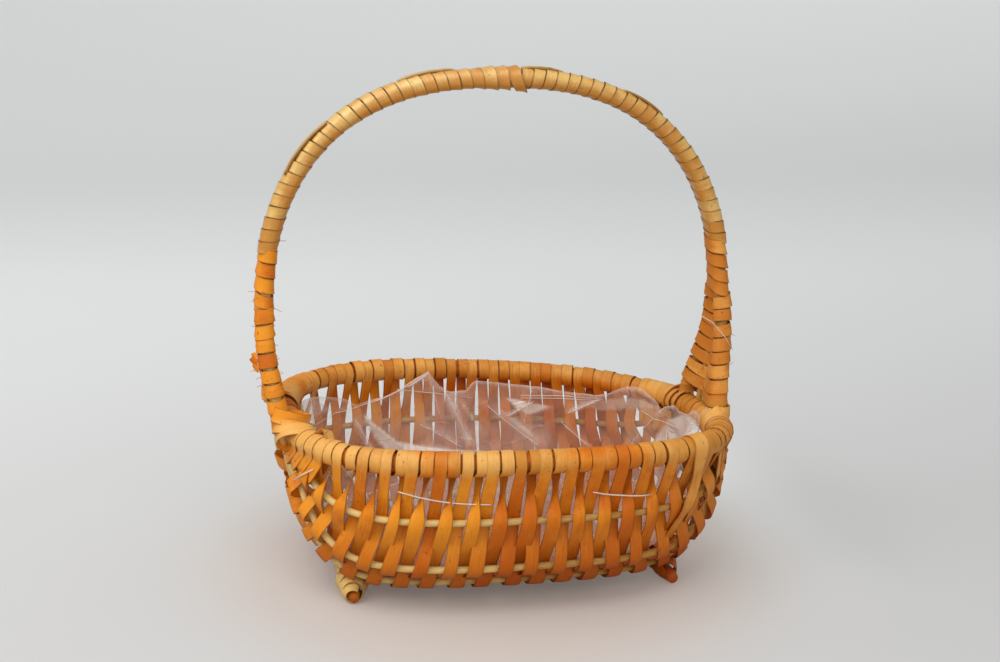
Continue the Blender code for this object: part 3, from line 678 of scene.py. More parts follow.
class BASKET_OT_rim_and_ribs(Operator):
    """Model the rim's core and the eight ribs"""
    bl_idname = "basket.rim_and_ribs"
    bl_label = "Rim and Ribs"

    RIM_STEPS = 90  # along each half of the rim
    RIB_STEPS = 100
    RIB_SWAY = 0.0004  # unevenness of a rib's way

    def execute(self, context):
        body = context.scene.basket_body
        wall = Wall(body)
        woods = surfaces(context.scene)
        parts = [step / self.RIM_STEPS for step in range(self.RIM_STEPS)]
        hoop = [wall.along(0.0, part) for part in parts] + [wall.along(math.pi, 1.0 - part) for part in parts]
        shape = tube_shape(hoop, body.rim_core_radius, UP, sides=14, closed=True)
        finish_piece("rim_core", shape, woods["rim_core"], ["rim_rod"])
        rng = random.Random(4)
        for number_of_rib, turn in enumerate(wall.rib_turns(), 1):
            start = body.rib_start / wall.length(turn)
            seed = rng.uniform(-9.0, 9.0)
            points = []
            for step in range(self.RIB_STEPS + 1):
                point, _, outward = wall.frame(turn, start + (1.0 - 2 * start) * step / self.RIB_STEPS)
                points.append(point + outward * self.RIB_SWAY * noise.noise(Vector((point.x * 14.0, seed, 0.0))))
            shape = tube_shape(points, body.rib_radius, UP, rng.uniform(-0.15, 0.15), wobble=0.09, seed=seed)
            finish_piece(f"rib_rod_{number_of_rib}", shape, woods["peeled_rod"],
                         [f"rib_{number_of_rib}"])
        return {"FINISHED"}


RIM_SHIFT = (200.0, 140.0)  # degrees round the rim where a splint begins to move on, and over which it does


def rim_turn(wall, back, run_share, next_share, angles, radius, width, tone, skew):
    """Stations of a splint round the rim, which moves on to the next run's place under the rim."""
    stations = []
    for angle in angles:
        moved = eased((angle - RIM_SHIFT[0]) / RIM_SHIFT[1])
        point, along, outward = wall.rim_frame(back, run_share + (next_share - run_share) * moved)
        around = math.radians(angle)
        forward = swung(UP, -outward, around)
        stations.append((point + swung(outward, UP, around) * radius, (along + forward * skew).normalized(),
                         width, 0.0002, tone))
    return stations


def over_rim(wall, back, place, radius, width, crown, tone):
    """Stations of a band from the rim's inner side over it; place() turns a part, from 1 to 0, to a run share."""
    stations = []
    for angle in range(200, -1, -25):
        point, along, outward = wall.rim_frame(back, place(angle / 200))
        stations.append((point + swung(outward, UP, math.radians(angle)) * radius, along, width, crown, tone))
    return stations


RIB_WIDTHS = (1.0, 1.04, 1.1, 1.12)  # a splint's width at the ribs from the rim to the keel, times its usual one
END_SWELL = 0.0021  # how much further out splints pass the ribs near both ends
DRIFT = 0.0011  # how far a splint strays along the ribs
LEAN = 0.16  # how far a splint's side leans where it passes a rib


def run_across(wall, splints, run_share, first_sign, rng, width, tone):
    """Stations of one run under the basket, out of and into the ribs, from front to back."""
    frames = [wall.frame(turn, run_share) for turn in wall.rib_turns()]
    near_end = eased((0.3 - min(run_share, 1.0 - run_share)) / 0.16)
    stations = []
    for index, (point, along, outward) in enumerate(frames):
        beside = frames[max(0, index - 1):index] + frames[index + 1:index + 2]
        spacing = min((point - other[0]).length for other in beside)
        slope_share = min(0.8, 2 * splints.rib_lift / spacing)
        reach = splints.rib_lift / math.sqrt(1.0 - slope_share ** 2)
        sign = first_sign if index % 2 == 0 else -first_sign
        drift = rng.uniform(-DRIFT, DRIFT)
        lean = rng.uniform(-LEAN, LEAN)
        if sign > 0:
            reach += END_SWELL * near_end
        side = (along + along.cross(outward).normalized() * lean).normalized()
        rib_width = width * rng.uniform(0.9, 1.08) * RIB_WIDTHS[min(index, 7 - index)]
        stations.append((point + outward * (reach * sign) + along * drift, side, rib_width,
                         -0.0004 * sign * first_sign, tone))
    return stations


def between(first, second, twist, pinch):
    """Station halfway between two, turned about the line between them and narrowed."""
    direction = (second[0] - first[0]).normalized()
    side = Matrix.Rotation(twist, 3, direction) @ ((first[1] + second[1]) / 2).normalized()
    return (first[0] + second[0]) / 2, side, (first[2] + second[2]) / 2 * pinch, 0.0, (first[4] + second[4]) / 2


class BASKET_OT_splints(Operator):
    """Weave the splints round the rim and through the ribs"""
    bl_idname = "basket.splints"
    bl_label = "Woven Splints"

    PITCH_DRIFT = 0.13  # share of the pitch by which a run strays from its place
    TONE_SPREAD = 0.17
    SKEW = 0.12  # how far a splint leans where it turns round the rim

    def execute(self, context):
        splints = context.scene.basket_splints
        body = context.scene.basket_body
        wall = Wall(body)
        wood = surfaces(context.scene)["woven_wood"]
        rng = random.Random(11)
        rim_length = wall.length(0.0)
        pitch_share = (rim_length - 2 * splints.first_run) / rim_length / (2 * splints.pairs - 1)
        for pair in range(splints.pairs):
            start = splints.first_run / rim_length + 2 * pair * pitch_share
            here = start + rng.uniform(-self.PITCH_DRIFT, self.PITCH_DRIFT) * pitch_share
            there = start + (1.0 + rng.uniform(-self.PITCH_DRIFT, self.PITCH_DRIFT)) * pitch_share
            width = splints.width * rng.uniform(0.9, 1.12)
            rim_width = splints.rim_width * rng.uniform(0.92, 1.1)
            tones = draws(rng, -self.TONE_SPREAD, self.TONE_SPREAD, 2)
            radius = body.rim_wrap_radius
            lifted = radius + rng.uniform(0.0, 0.0009)
            skews = draws(rng, -self.SKEW, self.SKEW, 3)
            first = rim_turn(wall, True, here, here, range(-120, 181, 30), radius, rim_width, tones[0], skews[0])
            second = run_across(wall, splints, here, -1, rng, width, tones[0])[::-1]
            third = rim_turn(wall, False, here, there, range(0, 541, 30), lifted, rim_width, tones[0], skews[1])
            fourth = run_across(wall, splints, there, 1, rng, width, tones[1])
            fifth = rim_turn(wall, True, there, there, range(0, 301, 30), lifted, rim_width, tones[1], skews[2])
            twists = [math.radians(angle) for angle in draws(rng, 8, 30, 3) + draws(rng, 40, 78, 1)]
            joins = ((-twists[0], 0.9), (-twists[1] * 0.5, 0.95), (twists[3], 0.74), (twists[2] * 0.5, 0.92))
            stations = first
            for (twist, pinch), following in zip(joins, (second, third, fourth, fifth)):
                stations = stations + [between(stations[-1], following[0], twist, pinch)] + following
            strip(f"woven_splint_{pair + 1:02d}", stations, 0.0026, splints.thickness, wood,
                  [f"splint_{pair + 1:02d}"])
        return {"FINISHED"}


class Arch:
    """The handle's middle line, its legs and the rods in its forks."""

    LINE_STEPS = 400
    WINDING_POWER = 2.6  # squareness of the windings' cross section

    def __init__(self, handle, wall):
        self.handle = handle
        self.wall = wall
        self.half_gap = handle.rod_radius + handle.rod_gap / 2

    def leg_foot(self, side, front):
        """Lower end of a leg's middle line, at the rim's height."""
        handle = self.handle
        outward = handle.left_leg_outward if side < 0 else handle.right_leg_outward
        if side < 0 and not front:
            outward -= handle.back_leg_shift
        foot = self.wall.rim_end_point(side, -handle.leg_spread if front else handle.leg_spread)
        return foot + Vector((side * outward, 0, 0))

    def leg_end(self, side, front):
        """Height at which a leg ends: on the rim at the right, below its middle at the left."""
        foot = self.leg_foot(side, front)
        if side > 0:
            return foot.z + self.wall.body.rim_wrap_radius
        return foot.z - self.handle.leg_tail * (1.0 if front else 0.3)

    def leg_point(self, side, front, height):
        """Middle of one leg at a height."""
        handle = self.handle
        foot = self.leg_foot(side, front)
        fall_share = min(1.0, max(0.0, (handle.fork_height - height) / (handle.fork_height - foot.z)))
        spread = self.half_gap + (handle.leg_spread - self.half_gap) * fall_share ** handle.fork_power
        if height >= handle.spring_height:
            rise_share = (height - handle.spring_height) / handle.rise
            x = side * handle.half_span * (1.0 - rise_share ** handle.arch_power) ** (1.0 / handle.arch_power)
        else:
            blend = eased((handle.spring_height - height) / (handle.spring_height - foot.z))
            x = side * handle.half_span + (foot.x - side * handle.half_span) * blend
        return Vector((x, -spread if front else spread, height))

    def leg_way(self, side, front, height):
        """Upward direction of one leg at a height."""
        return (self.leg_point(side, front, height + 0.004) - self.leg_point(side, front, height)).normalized()

    def line(self, lowest, count):
        """Evenly spaced points and directions of the arch, from left to right, and its length."""
        handle = self.handle
        power = 2.0 / handle.arch_power
        points = []
        for step in range(self.LINE_STEPS + 1):
            angle = math.pi * (1.0 - step / self.LINE_STEPS)
            z = handle.spring_height + handle.rise * max(0.0, math.sin(angle)) ** power
            if z >= lowest:
                points.append((handle.half_span * signed_power(math.cos(angle), power), 0.0, z))
        points = np.array(points)
        lengths = running_lengths(points)
        places = np.linspace(0.0, lengths[-1], count)
        even = np.stack([np.interp(places, lengths, points[:, axis]) for axis in range(3)], axis=1)
        return even, unit(np.gradient(even, axis=0)), lengths[-1]

    def wound(self, point, direction, angle, ease, lap, width, crown, tone):
        """Station of a winding round both rods and the lath, which laps the loop before by lap."""
        handle = self.handle
        power = 2.0 / self.WINDING_POWER
        side = (2 * handle.rod_radius + 0.0009) * ease * signed_power(math.cos(angle), power)
        half_out = (handle.rod_radius + handle.lath_thickness / 2 + 0.0008) * ease
        out = half_out * signed_power(math.sin(angle), power) + handle.lath_thickness / 2
        along = Vector(direction)
        outward = along.cross(BACKWARD)
        spoke = swung(BACKWARD, outward, angle).normalized()
        return (Vector(point) + BACKWARD * side + outward * out, (along + spoke * lap).normalized(), width, crown,
                tone)


class BASKET_OT_handle(Operator):
    """Model the handle's rods, lath and windings"""
    bl_idname = "basket.handle"
    bl_label = "Handle"

    LOOP_STEPS = 16
    APEX_TURNS = 2.975
    APEX_START = -0.0135  # of the wider wrap, from the middle of the arch
    APEX_REACH = 0.0235
    LATH_STEPS = 160
    # Stretches where the lath lies over the winding: start, end and sideways place
    LATH_SPANS = ((0.115, 0.215, -0.004), (0.335, 0.425, 0.001), (0.535, 0.60, 0.002), (0.70, 0.775, -0.001))

    def execute(self, context):
        handle = context.scene.basket_handle
        arch = Arch(handle, Wall(context.scene.basket_body))
        woods = surfaces(context.scene)
        crown, _, _ = arch.line(handle.fork_height, 90)
        for label, front in (("front", True), ("back", False)):
            legs = []
            for side in (-1, 1):
                low = arch.leg_end(side, front)
                heights = [low + (handle.fork_height - low) * step / 24 for step in range(24)]
                legs.append([arch.leg_point(side, front, height) for height in heights])
            offset = Vector((0, -arch.half_gap if front else arch.half_gap, 0))
            points = legs[0] + [Vector(point) + offset for point in crown] + legs[1][::-1]
            shape = tube_shape(points, handle.rod_radius, BACKWARD, 0.1, wobble=0.05)
            finish_piece(f"handle_stem_{label}", shape, woods["peeled_rod"], [f"handle_rod_{label}"])
        self.wind(arch, woods["winding_wood"])
        self.lay_laths(arch, woods["winding_wood"])
        return {"FINISHED"}

    def wind(self, arch, wood):
        """Closely wound splint on both halves, whose loops each lap the one before."""
        loops = arch.handle.loops
        rng = random.Random(23)
        count = loops * self.LOOP_STEPS
        points, directions, total = arch.line(arch.handle.winding_height, 4 * count + 1)
        pitch = total / 2 / (loops + 1.2)
        apex_share = 0.004 / total
        for label, start, end, lap in (("left", 0.012, 0.5 - apex_share, 0.075),
                                       ("right", 0.988, 0.5 + apex_share, -0.075)):
            tones = draws(rng, -0.14, 0.14, loops + 2)
            widths = draws(rng, 0.93, 1.05, loops + 2)
            eases = draws(rng, 0.985, 1.035, loops + 2)
            stations = []
            for index in range(count + 1):
                row = min(4 * count, max(0, round((start + (end - start) * index / count) * 4 * count)))
                loop, step = divmod(index, self.LOOP_STEPS)
                mixed = eased(step / self.LOOP_STEPS * 3 - 2)
                tone, width, ease = (between_entries(values, loop, mixed) for values in (tones, widths, eases))
                stations.append(arch.wound(points[row], directions[row], 2.0 * math.pi * index / self.LOOP_STEPS,
                                           ease, lap, pitch * width, 0.0001, tone))
            strip(f"handle_wrap_{label}", stations, 0.002, 0.0006, wood, [f"handle_winding_{label}"])
        self.wrap_apex(points, directions, arch, wood)

    def wrap_apex(self, points, directions, arch, wood):
        """Three thicker wraps over the middle of the arch, whose end stands off slantwise."""
        middle = len(points) // 2
        step_length = float(np.linalg.norm(points[middle + 1] - points[middle]))
        stations = []
        for index in range(61):
            part = index / 60
            end = max(0.0, part - 0.9)
            row = middle + round((self.APEX_START + self.APEX_REACH * part + 0.05 * end) / step_length)
            angle = 2.0 * math.pi * self.APEX_TURNS * part - math.pi * 0.45
            ease = 1.14 + 0.06 * part + 4.0 * max(0.0, part - 0.94)
            stations.append(arch.wound(points[row], directions[row], angle, ease, 0.14, 0.0086 - 0.02 * end,
                                       0.0004, -0.05 + 0.35 * part))
        strip("handle_top_wrap", stations, 0.002, BINDING_THICKNESS, wood, ["handle_apex_wrap"])

    def lay_laths(self, arch, wood):
        """The filler lath under the winding, and where it comes out over it for a stretch."""
        thickness = arch.handle.lath_thickness
        points, directions, _ = arch.line(0.226, self.LATH_STEPS + 1)
        rise = arch.handle.rod_radius + 0.0004 + thickness / 2

        def station(row, lift, sideways, width, tone):
            outward = Vector(directions[row]).cross(BACKWARD)
            return Vector(points[row]) + outward * lift + BACKWARD * sideways, BACKWARD, width, 0.0, tone

        stations = [station(row, rise, 0.0, 0.008, 0.1) for row in range(len(points))]
        strip("handle_filler", stations, 0.004, thickness, wood, ["handle_lath"])
        shapes = []
        for start, end, sideways in self.LATH_SPANS:
            stations = []
            for step in range(13):
                part = step / 12
                row = round((start + (end - start) * part) * self.LATH_STEPS)
                lift = rise + 0.0012 + 0.0013 * math.sin(math.pi * part) ** 0.5
                stations.append(station(row, lift, sideways, 0.0066, -0.1))
            shapes.append(strip_shape(stations, 0.003))
        thicken(finish_piece("handle_filler_over", joined(shapes), wood), 0.0017)


class BASKET_OT_forks(Operator):
    """Lace the handle's forks and bind their feet"""
    bl_idname = "basket.forks"
    bl_label = "Forks"

    LOOP_STEPS = 20
    PLAIN_LOOPS = 4  # round both legs, before the figures of eight
    FILLER_TOP = 0.15  # height at which the two short rods end

    def execute(self, context):
        scene = context.scene
        arch = Arch(scene.basket_handle, Wall(scene.basket_body))
        woods = surfaces(scene)
        for label, side in (("left", -1), ("right", 1)):
            self.lace(arch, side, label, woods["woven_wood"])
            self.infill(arch, side, label, woods["peeled_rod"])
            self.bind(arch, side, label, woods["woven_wood"])
        return {"FINISHED"}

    def lace(self, arch, side, label, wood):
        """A splint round both legs of one fork, in figures of eight once they part."""
        rng = random.Random(31 if side < 0 else 37)
        loops, slope, rise = (11, 0.15, 0.014) if side < 0 else (12, 0.6, 0.012)
        top = arch.handle.fork_height + 0.012
        bottom = arch.leg_foot(side, True).z + rise
        radius = arch.handle.rod_radius + 0.0012
        count = loops * self.LOOP_STEPS
        plain = self.PLAIN_LOOPS * self.LOOP_STEPS
        tones = draws(rng, -0.25, 0.3, 2 * loops + 2)
        widths = draws(rng, 0.84, 1.04, 2 * loops + 2)
        shifts = draws(rng, -0.0009, 0.0009, 2 * loops + 2)
        stations = []
        for index in range(count + 1):
            height = top + (bottom - top) * index / count
            angle = 2.0 * math.pi * index / self.LOOP_STEPS + math.pi
            front, back = arch.leg_point(side, True, height), arch.leg_point(side, False, height)
            across = (back - front).normalized()
            lobe = -math.cos(angle)
            if index < plain:
                out = signed_power(math.sin(angle), 0.8) * (radius + 0.0006)
            else:
                out = math.sin(2 * angle) * -radius * 1.08
            reach = ((back - front).length / 2 + radius) * signed_power(lobe, 0.75)
            half = index * 2 // self.LOOP_STEPS
            mixed = eased((index * 2 / self.LOOP_STEPS - half) * 3 - 2)
            tone, width, shift = (between_entries(values, half, mixed) for values in (tones, widths, shifts))
            width *= (top - bottom) / loops
            along = arch.leg_way(side, True, height).lerp(arch.leg_way(side, False, height), (lobe + 1) / 2)
            spoke = across * lobe + Vector((out / radius, 0, 0))
            lapped = (along.normalized() - spoke.normalized() * 0.09).normalized()
            if side > 0 and index > plain:
                width *= 1.0 - 0.3 * max(0.0, lobe)
                tone += 0.12 * max(0.0, lobe)
            fall = slope * (out - 0.3 * shift) * max(0.0, lobe) * eased(index / count * 2.5 - 0.5)
            point = (front + back) / 2 + across * reach + Vector((out, 0, shift - fall))
            stations.append((point, lapped, width, 0.0002, tone))
        strip(f"fork_lacing_{label}", stations, 0.0022, BINDING_THICKNESS, wood,
              [f"fork_winding_{label}"])

    def infill(self, arch, side, label, wood):
        """Two short rods that fill the fork."""
        for index, y in enumerate((-0.005, 0.005)):
            foot = arch.wall.rim_end_point(side, y)
            if side < 0:
                foot += Vector((-0.0079, 0, -0.003))
            else:
                foot += UP * (arch.wall.body.rim_wrap_radius - 0.0005)
            legs = [arch.leg_point(side, front, self.FILLER_TOP) for front in (True, False)]
            top = Vector(((legs[0].x + legs[1].x) / 2, y, self.FILLER_TOP))
            points = [foot.lerp(top, step / 12) for step in range(13)]
            shape = tube_shape(points, 0.0022, BACKWARD, -0.1, wobble=0.08, seed=index * 3.0)
            finish_piece(f"fork_filler_{label}_{index + 1}", shape, wood,
                         [f"fork_rod_{label}_{index + 1}"])

    def bind(self, arch, side, label, wood):
        """Turns of splint round the foot of each leg."""
        ring = arch.handle.rod_radius + 0.0012
        for end_label, front in (("front", True), ("back", False)):
            low = arch.leg_foot(side, front).z + (0.003 if side < 0 else 0.0085)
            stations = []
            for index in range(33):
                height = low + 0.013 * index / 32
                spoke = swung(RIGHTWARD, BACKWARD, 2.0 * math.pi * index / 16)
                stations.append((arch.leg_point(side, front, height) + spoke * ring,
                                 arch.leg_way(side, front, height), 0.0066, 0.0002, 0.05))
            strip(f"foot_binding_{label}_{end_label}", stations, 0.002, BINDING_THICKNESS, wood,
                  [f"leg_lashing_{label}_{end_label}"])


class BASKET_OT_rim_ends(Operator):
    """Bind the ends of the rim, where the ribs begin and the legs stand"""
    bl_idname = "basket.rim_ends"
    bl_label = "Rim Ends"

    # Wide turns round leg and rim: place from foot to rim, level, way ahead, half width across and along the
    # rim, flare, heading
    BUNDLE = (
        (0.64, 0.0115, -0.0005, 0.0120, 0.0082, 0.06, (0.26, 0.15, -0.95)),
        (0.68, 0.0045, 0.0022, 0.0124, 0.0094, 0.04, (0.2, 0.42, -0.88)),
        (0.7, 0.0006, 0.0070, 0.0122, 0.0098, 0.0, (0.04, 0.8, -0.6)))
    # Saddles: level over the rim's middle, dip round the leg, shift along the rim
    SADDLES = ((0.0105, 0.0012, 0.005), (0.0045, 0.0048, -0.001), (-0.0025, 0.0074, -0.0065))
    SADDLE_ROUND_LEG = ((-70.0, 0.6), (-20.0, 1.0), (20.0, 1.0), (60.0, 0.7), (95.0, 0.3))  # angle, share of dip
    SADDLE_ROUND_RIM = ((72.0, 0.7), (100.0, 0.3), (130.0, 0.1), (165.0, 0.0), (205.0, 0.0))  # angle, lean
    BAND_DEPTHS = (0.86, 0.72, 0.54, 0.4, 0.38)  # shares of the wall that the hanging bands reach
    # The corner's fold on the wall: share of the way down, distance from the rim's end
    FOLD = ((0.2, 0.0975), (0.3, 0.1), (0.42, 0.105), (0.55, 0.11), (0.68, 0.1145))

    def execute(self, context):
        arch = Arch(context.scene.basket_handle, Wall(context.scene.basket_body))
        wood = surfaces(context.scene)["woven_wood"]
        rng = random.Random(53)
        for label, side in (("left", -1), ("right", 1)):
            shapes = []
            for back in (False, True):
                close = back and side < 0
                for turn in range(8 if close else 5):
                    shapes.append(self.coil(arch.wall, back, side, turn, close, rng))
                for index in range(len(self.BAND_DEPTHS)):
                    shapes.append(self.band(arch.wall, back, side, index, rng))
                for index in range(1 if close else 3):
                    turned = self.bundle_wrap if side < 0 and not back else self.saddle
                    shapes.append(turned(arch, not back, side, index, rng))
            shapes.append(self.hollow_end(arch.wall) if side < 0 else self.corner_fold(arch.wall))
            piece = finish_piece(f"rim_end_binding_{label}", joined(shapes), wood,
                                 [f"end_knot_{label}"])
            thicken(piece, BINDING_THICKNESS, even=False)
        return {"FINISHED"}

    def coil(self, wall, back, side, turn, close, rng):
        """One turn round the rim between the legs, narrow and dark where they lie close."""
        share_from_end = (0.0015 + (0.0036 if close else 0.0056) * turn) / wall.length(0.0)
        run_share = share_from_end if side < 0 else 1.0 - share_from_end
        point, along, outward = wall.rim_frame(back, run_share)
        tone = rng.uniform(0.1, 0.4) if close else rng.uniform(-0.25, 0.2)
        radius = 0.0077 + rng.uniform(0.0, 0.0011)
        slant = rng.uniform(0.0004, 0.0024) * -side
        stations = []
        for step in range(15):
            angle = math.radians(200.0 + 27.0 * step)
            place = swung(outward, UP, angle) * (radius + 0.00004 * step) + along * (slant * math.sin(angle))
            stations.append((point + place, along, 0.0034 if close else 0.0066, 0.0003, tone))
        return strip_shape(stations, 0.0024)

    def bundle_wrap(self, arch, front, side, index, rng):
        """One wide turn round a leg's foot and the rim together, which tilts from the leg's way to the rim's."""
        foot = arch.leg_foot(side, front)
        rim = arch.wall.rim_end_point(side, foot.y)
        forward = -1 if front else 1
        from_foot, level, ahead, across, along, flare, heading = self.BUNDLE[index]
        heading = Vector((side * heading[0], forward * heading[1], heading[2])).normalized()
        middle = foot.lerp(rim, from_foot) + Vector((0.3 * ahead, forward * ahead, level))
        outward = Vector((side, 0, 0))
        outward = (outward - heading * outward.dot(heading)).normalized()
        tone = rng.uniform(-0.28, -0.08)
        stations = []
        for step in range(19):
            spoke = swung(outward * across, heading.cross(outward) * along, math.radians(170.0 + 22.0 * step))
            direction = (heading + spoke.normalized() * flare).normalized()
            stations.append((middle + spoke * (1.0 + 0.02 * index + 0.002 * step), direction, 0.0098, 0.0004, tone))
        return strip_shape(stations, 0.0022)

    def saddle(self, arch, front, side, index, rng):
        """One band that passes round the foot of a leg and over the rim to its inner side."""
        foot = arch.leg_foot(side, front)
        rim = arch.wall.rim_end_point(side, foot.y)
        ring = arch.handle.rod_radius + 0.0021 + 0.0003 * (2 - index)
        top = arch.wall.body.rim_wrap_radius + 0.0028 + 0.0003 * index
        level, dip, shift = self.SADDLES[index]
        outward, forward = Vector((side, 0, 0)), Vector((0, -1 if front else 1, 0))
        tone = rng.uniform(-0.42, -0.2)
        width = 0.0092 * rng.uniform(0.94, 1.06)
        stations = []
        for angle, fall in self.SADDLE_ROUND_LEG[:5 if index == 0 else 4]:
            middle = Vector((foot.x, foot.y, rim.z + level - dip * fall))
            stations.append((middle + swung(outward, forward, math.radians(angle)) * ring, UP, width, 0.0003, tone))
        for angle, lean in self.SADDLE_ROUND_RIM:
            rim_spot = arch.wall.rim_end_point(side, foot.y - forward.y * shift * (1.0 if angle > 80 else 0.6))
            stations.append((rim_spot + swung(outward, UP, math.radians(angle)) * top,
                             (UP * lean - forward).normalized(), width, 0.0003, tone))
        return strip_shape(stations, 0.0022)

    def band(self, wall, back, side, index, rng):
        """One slanting loop over the rim, down the outside of the ribs' first stretch and back up inside."""
        from_end = (0.0325 + 0.008 * index) if side < 0 else (0.0385 + 0.0066 * index)
        slant = (0.0105 - 0.0007 * index) * (1.0 if side < 0 else -0.55)
        tone = rng.uniform(-0.28, 0.02) - (0.12 if side > 0 else 0.0)
        width = (0.0112 if side < 0 else 0.0092) * rng.uniform(0.94, 1.08)
        lift = 0.0003 * (5 - index)

        def run_share(part):
            from_left = (from_end - slant * part) / wall.length(0.0)
            return from_left if side < 0 else 1.0 - from_left

        stations = over_rim(wall, back, lambda part: run_share(-0.35 * part), 0.0079 + lift, width, 0.0003, tone)
        for parts, reach, narrowed in (((0.3, 0.55, 0.8, 1.0), 0.0046 + lift, 0.98),
                                       ((1.02, 0.8, 0.5, 0.3), -0.0036, 0.8)):
            for part in parts:
                turn = wall.turn_at(self.BAND_DEPTHS[index] * part)
                point, along, outward = wall.frame(math.pi - turn if back else turn, run_share(part))
                stations.append((point + outward * reach, along, width * narrowed, 0.0002, tone))
        return strip_shape(stations, 0.0024)

    def hollow_end(self, wall):
        """A splint's loose end that stands off the left end of the rim as a small arch."""
        stations = []
        for step in range(9):
            part = step / 8
            point, _, outward = wall.rim_frame(False, (0.0545 + 0.0125 * part) / wall.length(0.0))
            around = math.radians(112.0)
            rise = 0.0078 + 0.0042 * math.sin(math.pi * min(1.0, part * 1.15))
            stations.append((point + swung(outward, UP, around) * rise, swung(-UP, outward, around), 0.0085, 0.0,
                             -0.15))
        return strip_shape(stations, 0.002)

    def corner_fold(self, wall):
        """A wide splint folded over the rim near its right end and drawn slantwise down the wall."""
        length_of_rim = wall.length(0.0)
        stations = over_rim(wall, False, lambda part: 1.0 - (0.0985 - 0.006 * part) / length_of_rim, 0.0086, 0.0125,
                            0.0, -0.6)
        for share_down, from_end in self.FOLD:
            point, along, outward = wall.frame(wall.turn_at(share_down), 1.0 - from_end / length_of_rim)
            reach = 0.0062 if share_down < 0.5 else 0.0035 - 0.02 * (share_down - 0.5)
            stations.append((point + outward * reach, (along + UP * 0.35).normalized(), 0.0098, 0.0003, -0.15))
        return strip_shape(stations, 0.0024)


class BASKET_OT_feet(Operator):
    """Model the two cross rods whose ends are the feet"""
    bl_idname = "basket.feet"
    bl_label = "Feet"

    HALF_LENGTH = 0.066
    RADIUS = 0.0045
    FROM_MIDDLE = 0.102
    # For each cross rod: label, side, slant, rod's wood, wrap's wood, and the wrap's first and last place, small
    # and large radius, turns and first angle
    ENDS = (
        ("left", -1, 0.07, "woven_wood", "winding_wood", (0.0648, 0.0475, 0.0056, 0.0116, 3.3, 0.9)),
        ("right", 1, 0.1, "foot_wood", "woven_wood", (0.0585, 0.049, 0.0053, 0.0082, 2.2, 2.4)))

    def execute(self, context):
        woods = surfaces(context.scene)
        for label, side, slant, rod, cover, winding in self.ENDS:
            middle = context.scene.basket_body.shift + side * self.FROM_MIDDLE
            ways = [self.HALF_LENGTH * (step / 12 - 1.0) for step in range(25)]
            shape = tube_shape([(middle - side * slant * y, y, self.RADIUS) for y in ways], self.RADIUS, UP, -0.05,
                               sides=16)
            finish_piece(f"foot_rod_{label}", shape, woods[rod], [f"skid_{label}"])
            wraps = [self.wrap(middle, side * slant, forward, *winding) for forward in (-1, 1)]
            thicken(finish_piece(f"foot_wrap_{label}", joined(wraps), woods[cover]),
                    BINDING_THICKNESS)
        return {"FINISHED"}

    def wrap(self, middle, slant, forward, first, last, small, large, turns, first_angle):
        """Splint wound round the end of a cross rod, wider towards the wall."""
        stations = []
        count = round(turns * 16)
        for index in range(count + 1):
            part = index / count
            y = forward * (first + (last - first) * part)
            radius = small + (large - small) * part
            angle = 2.0 * math.pi * turns * part + first_angle
            spoke = swung(RIGHTWARD, UP, angle)
            centre = Vector((middle - slant * y, y, radius + 0.0004))
            direction = (spoke * 0.32 - BACKWARD * forward).normalized()
            # Tone follows which way the wrap faces: painted shade where it faces up, painted highlight where it faces
            # down.
            stations.append((centre + spoke * radius, direction, 0.0086, 0.0003, -0.25 + 0.1 * math.sin(angle)))
        return strip_shape(stations, 0.002)


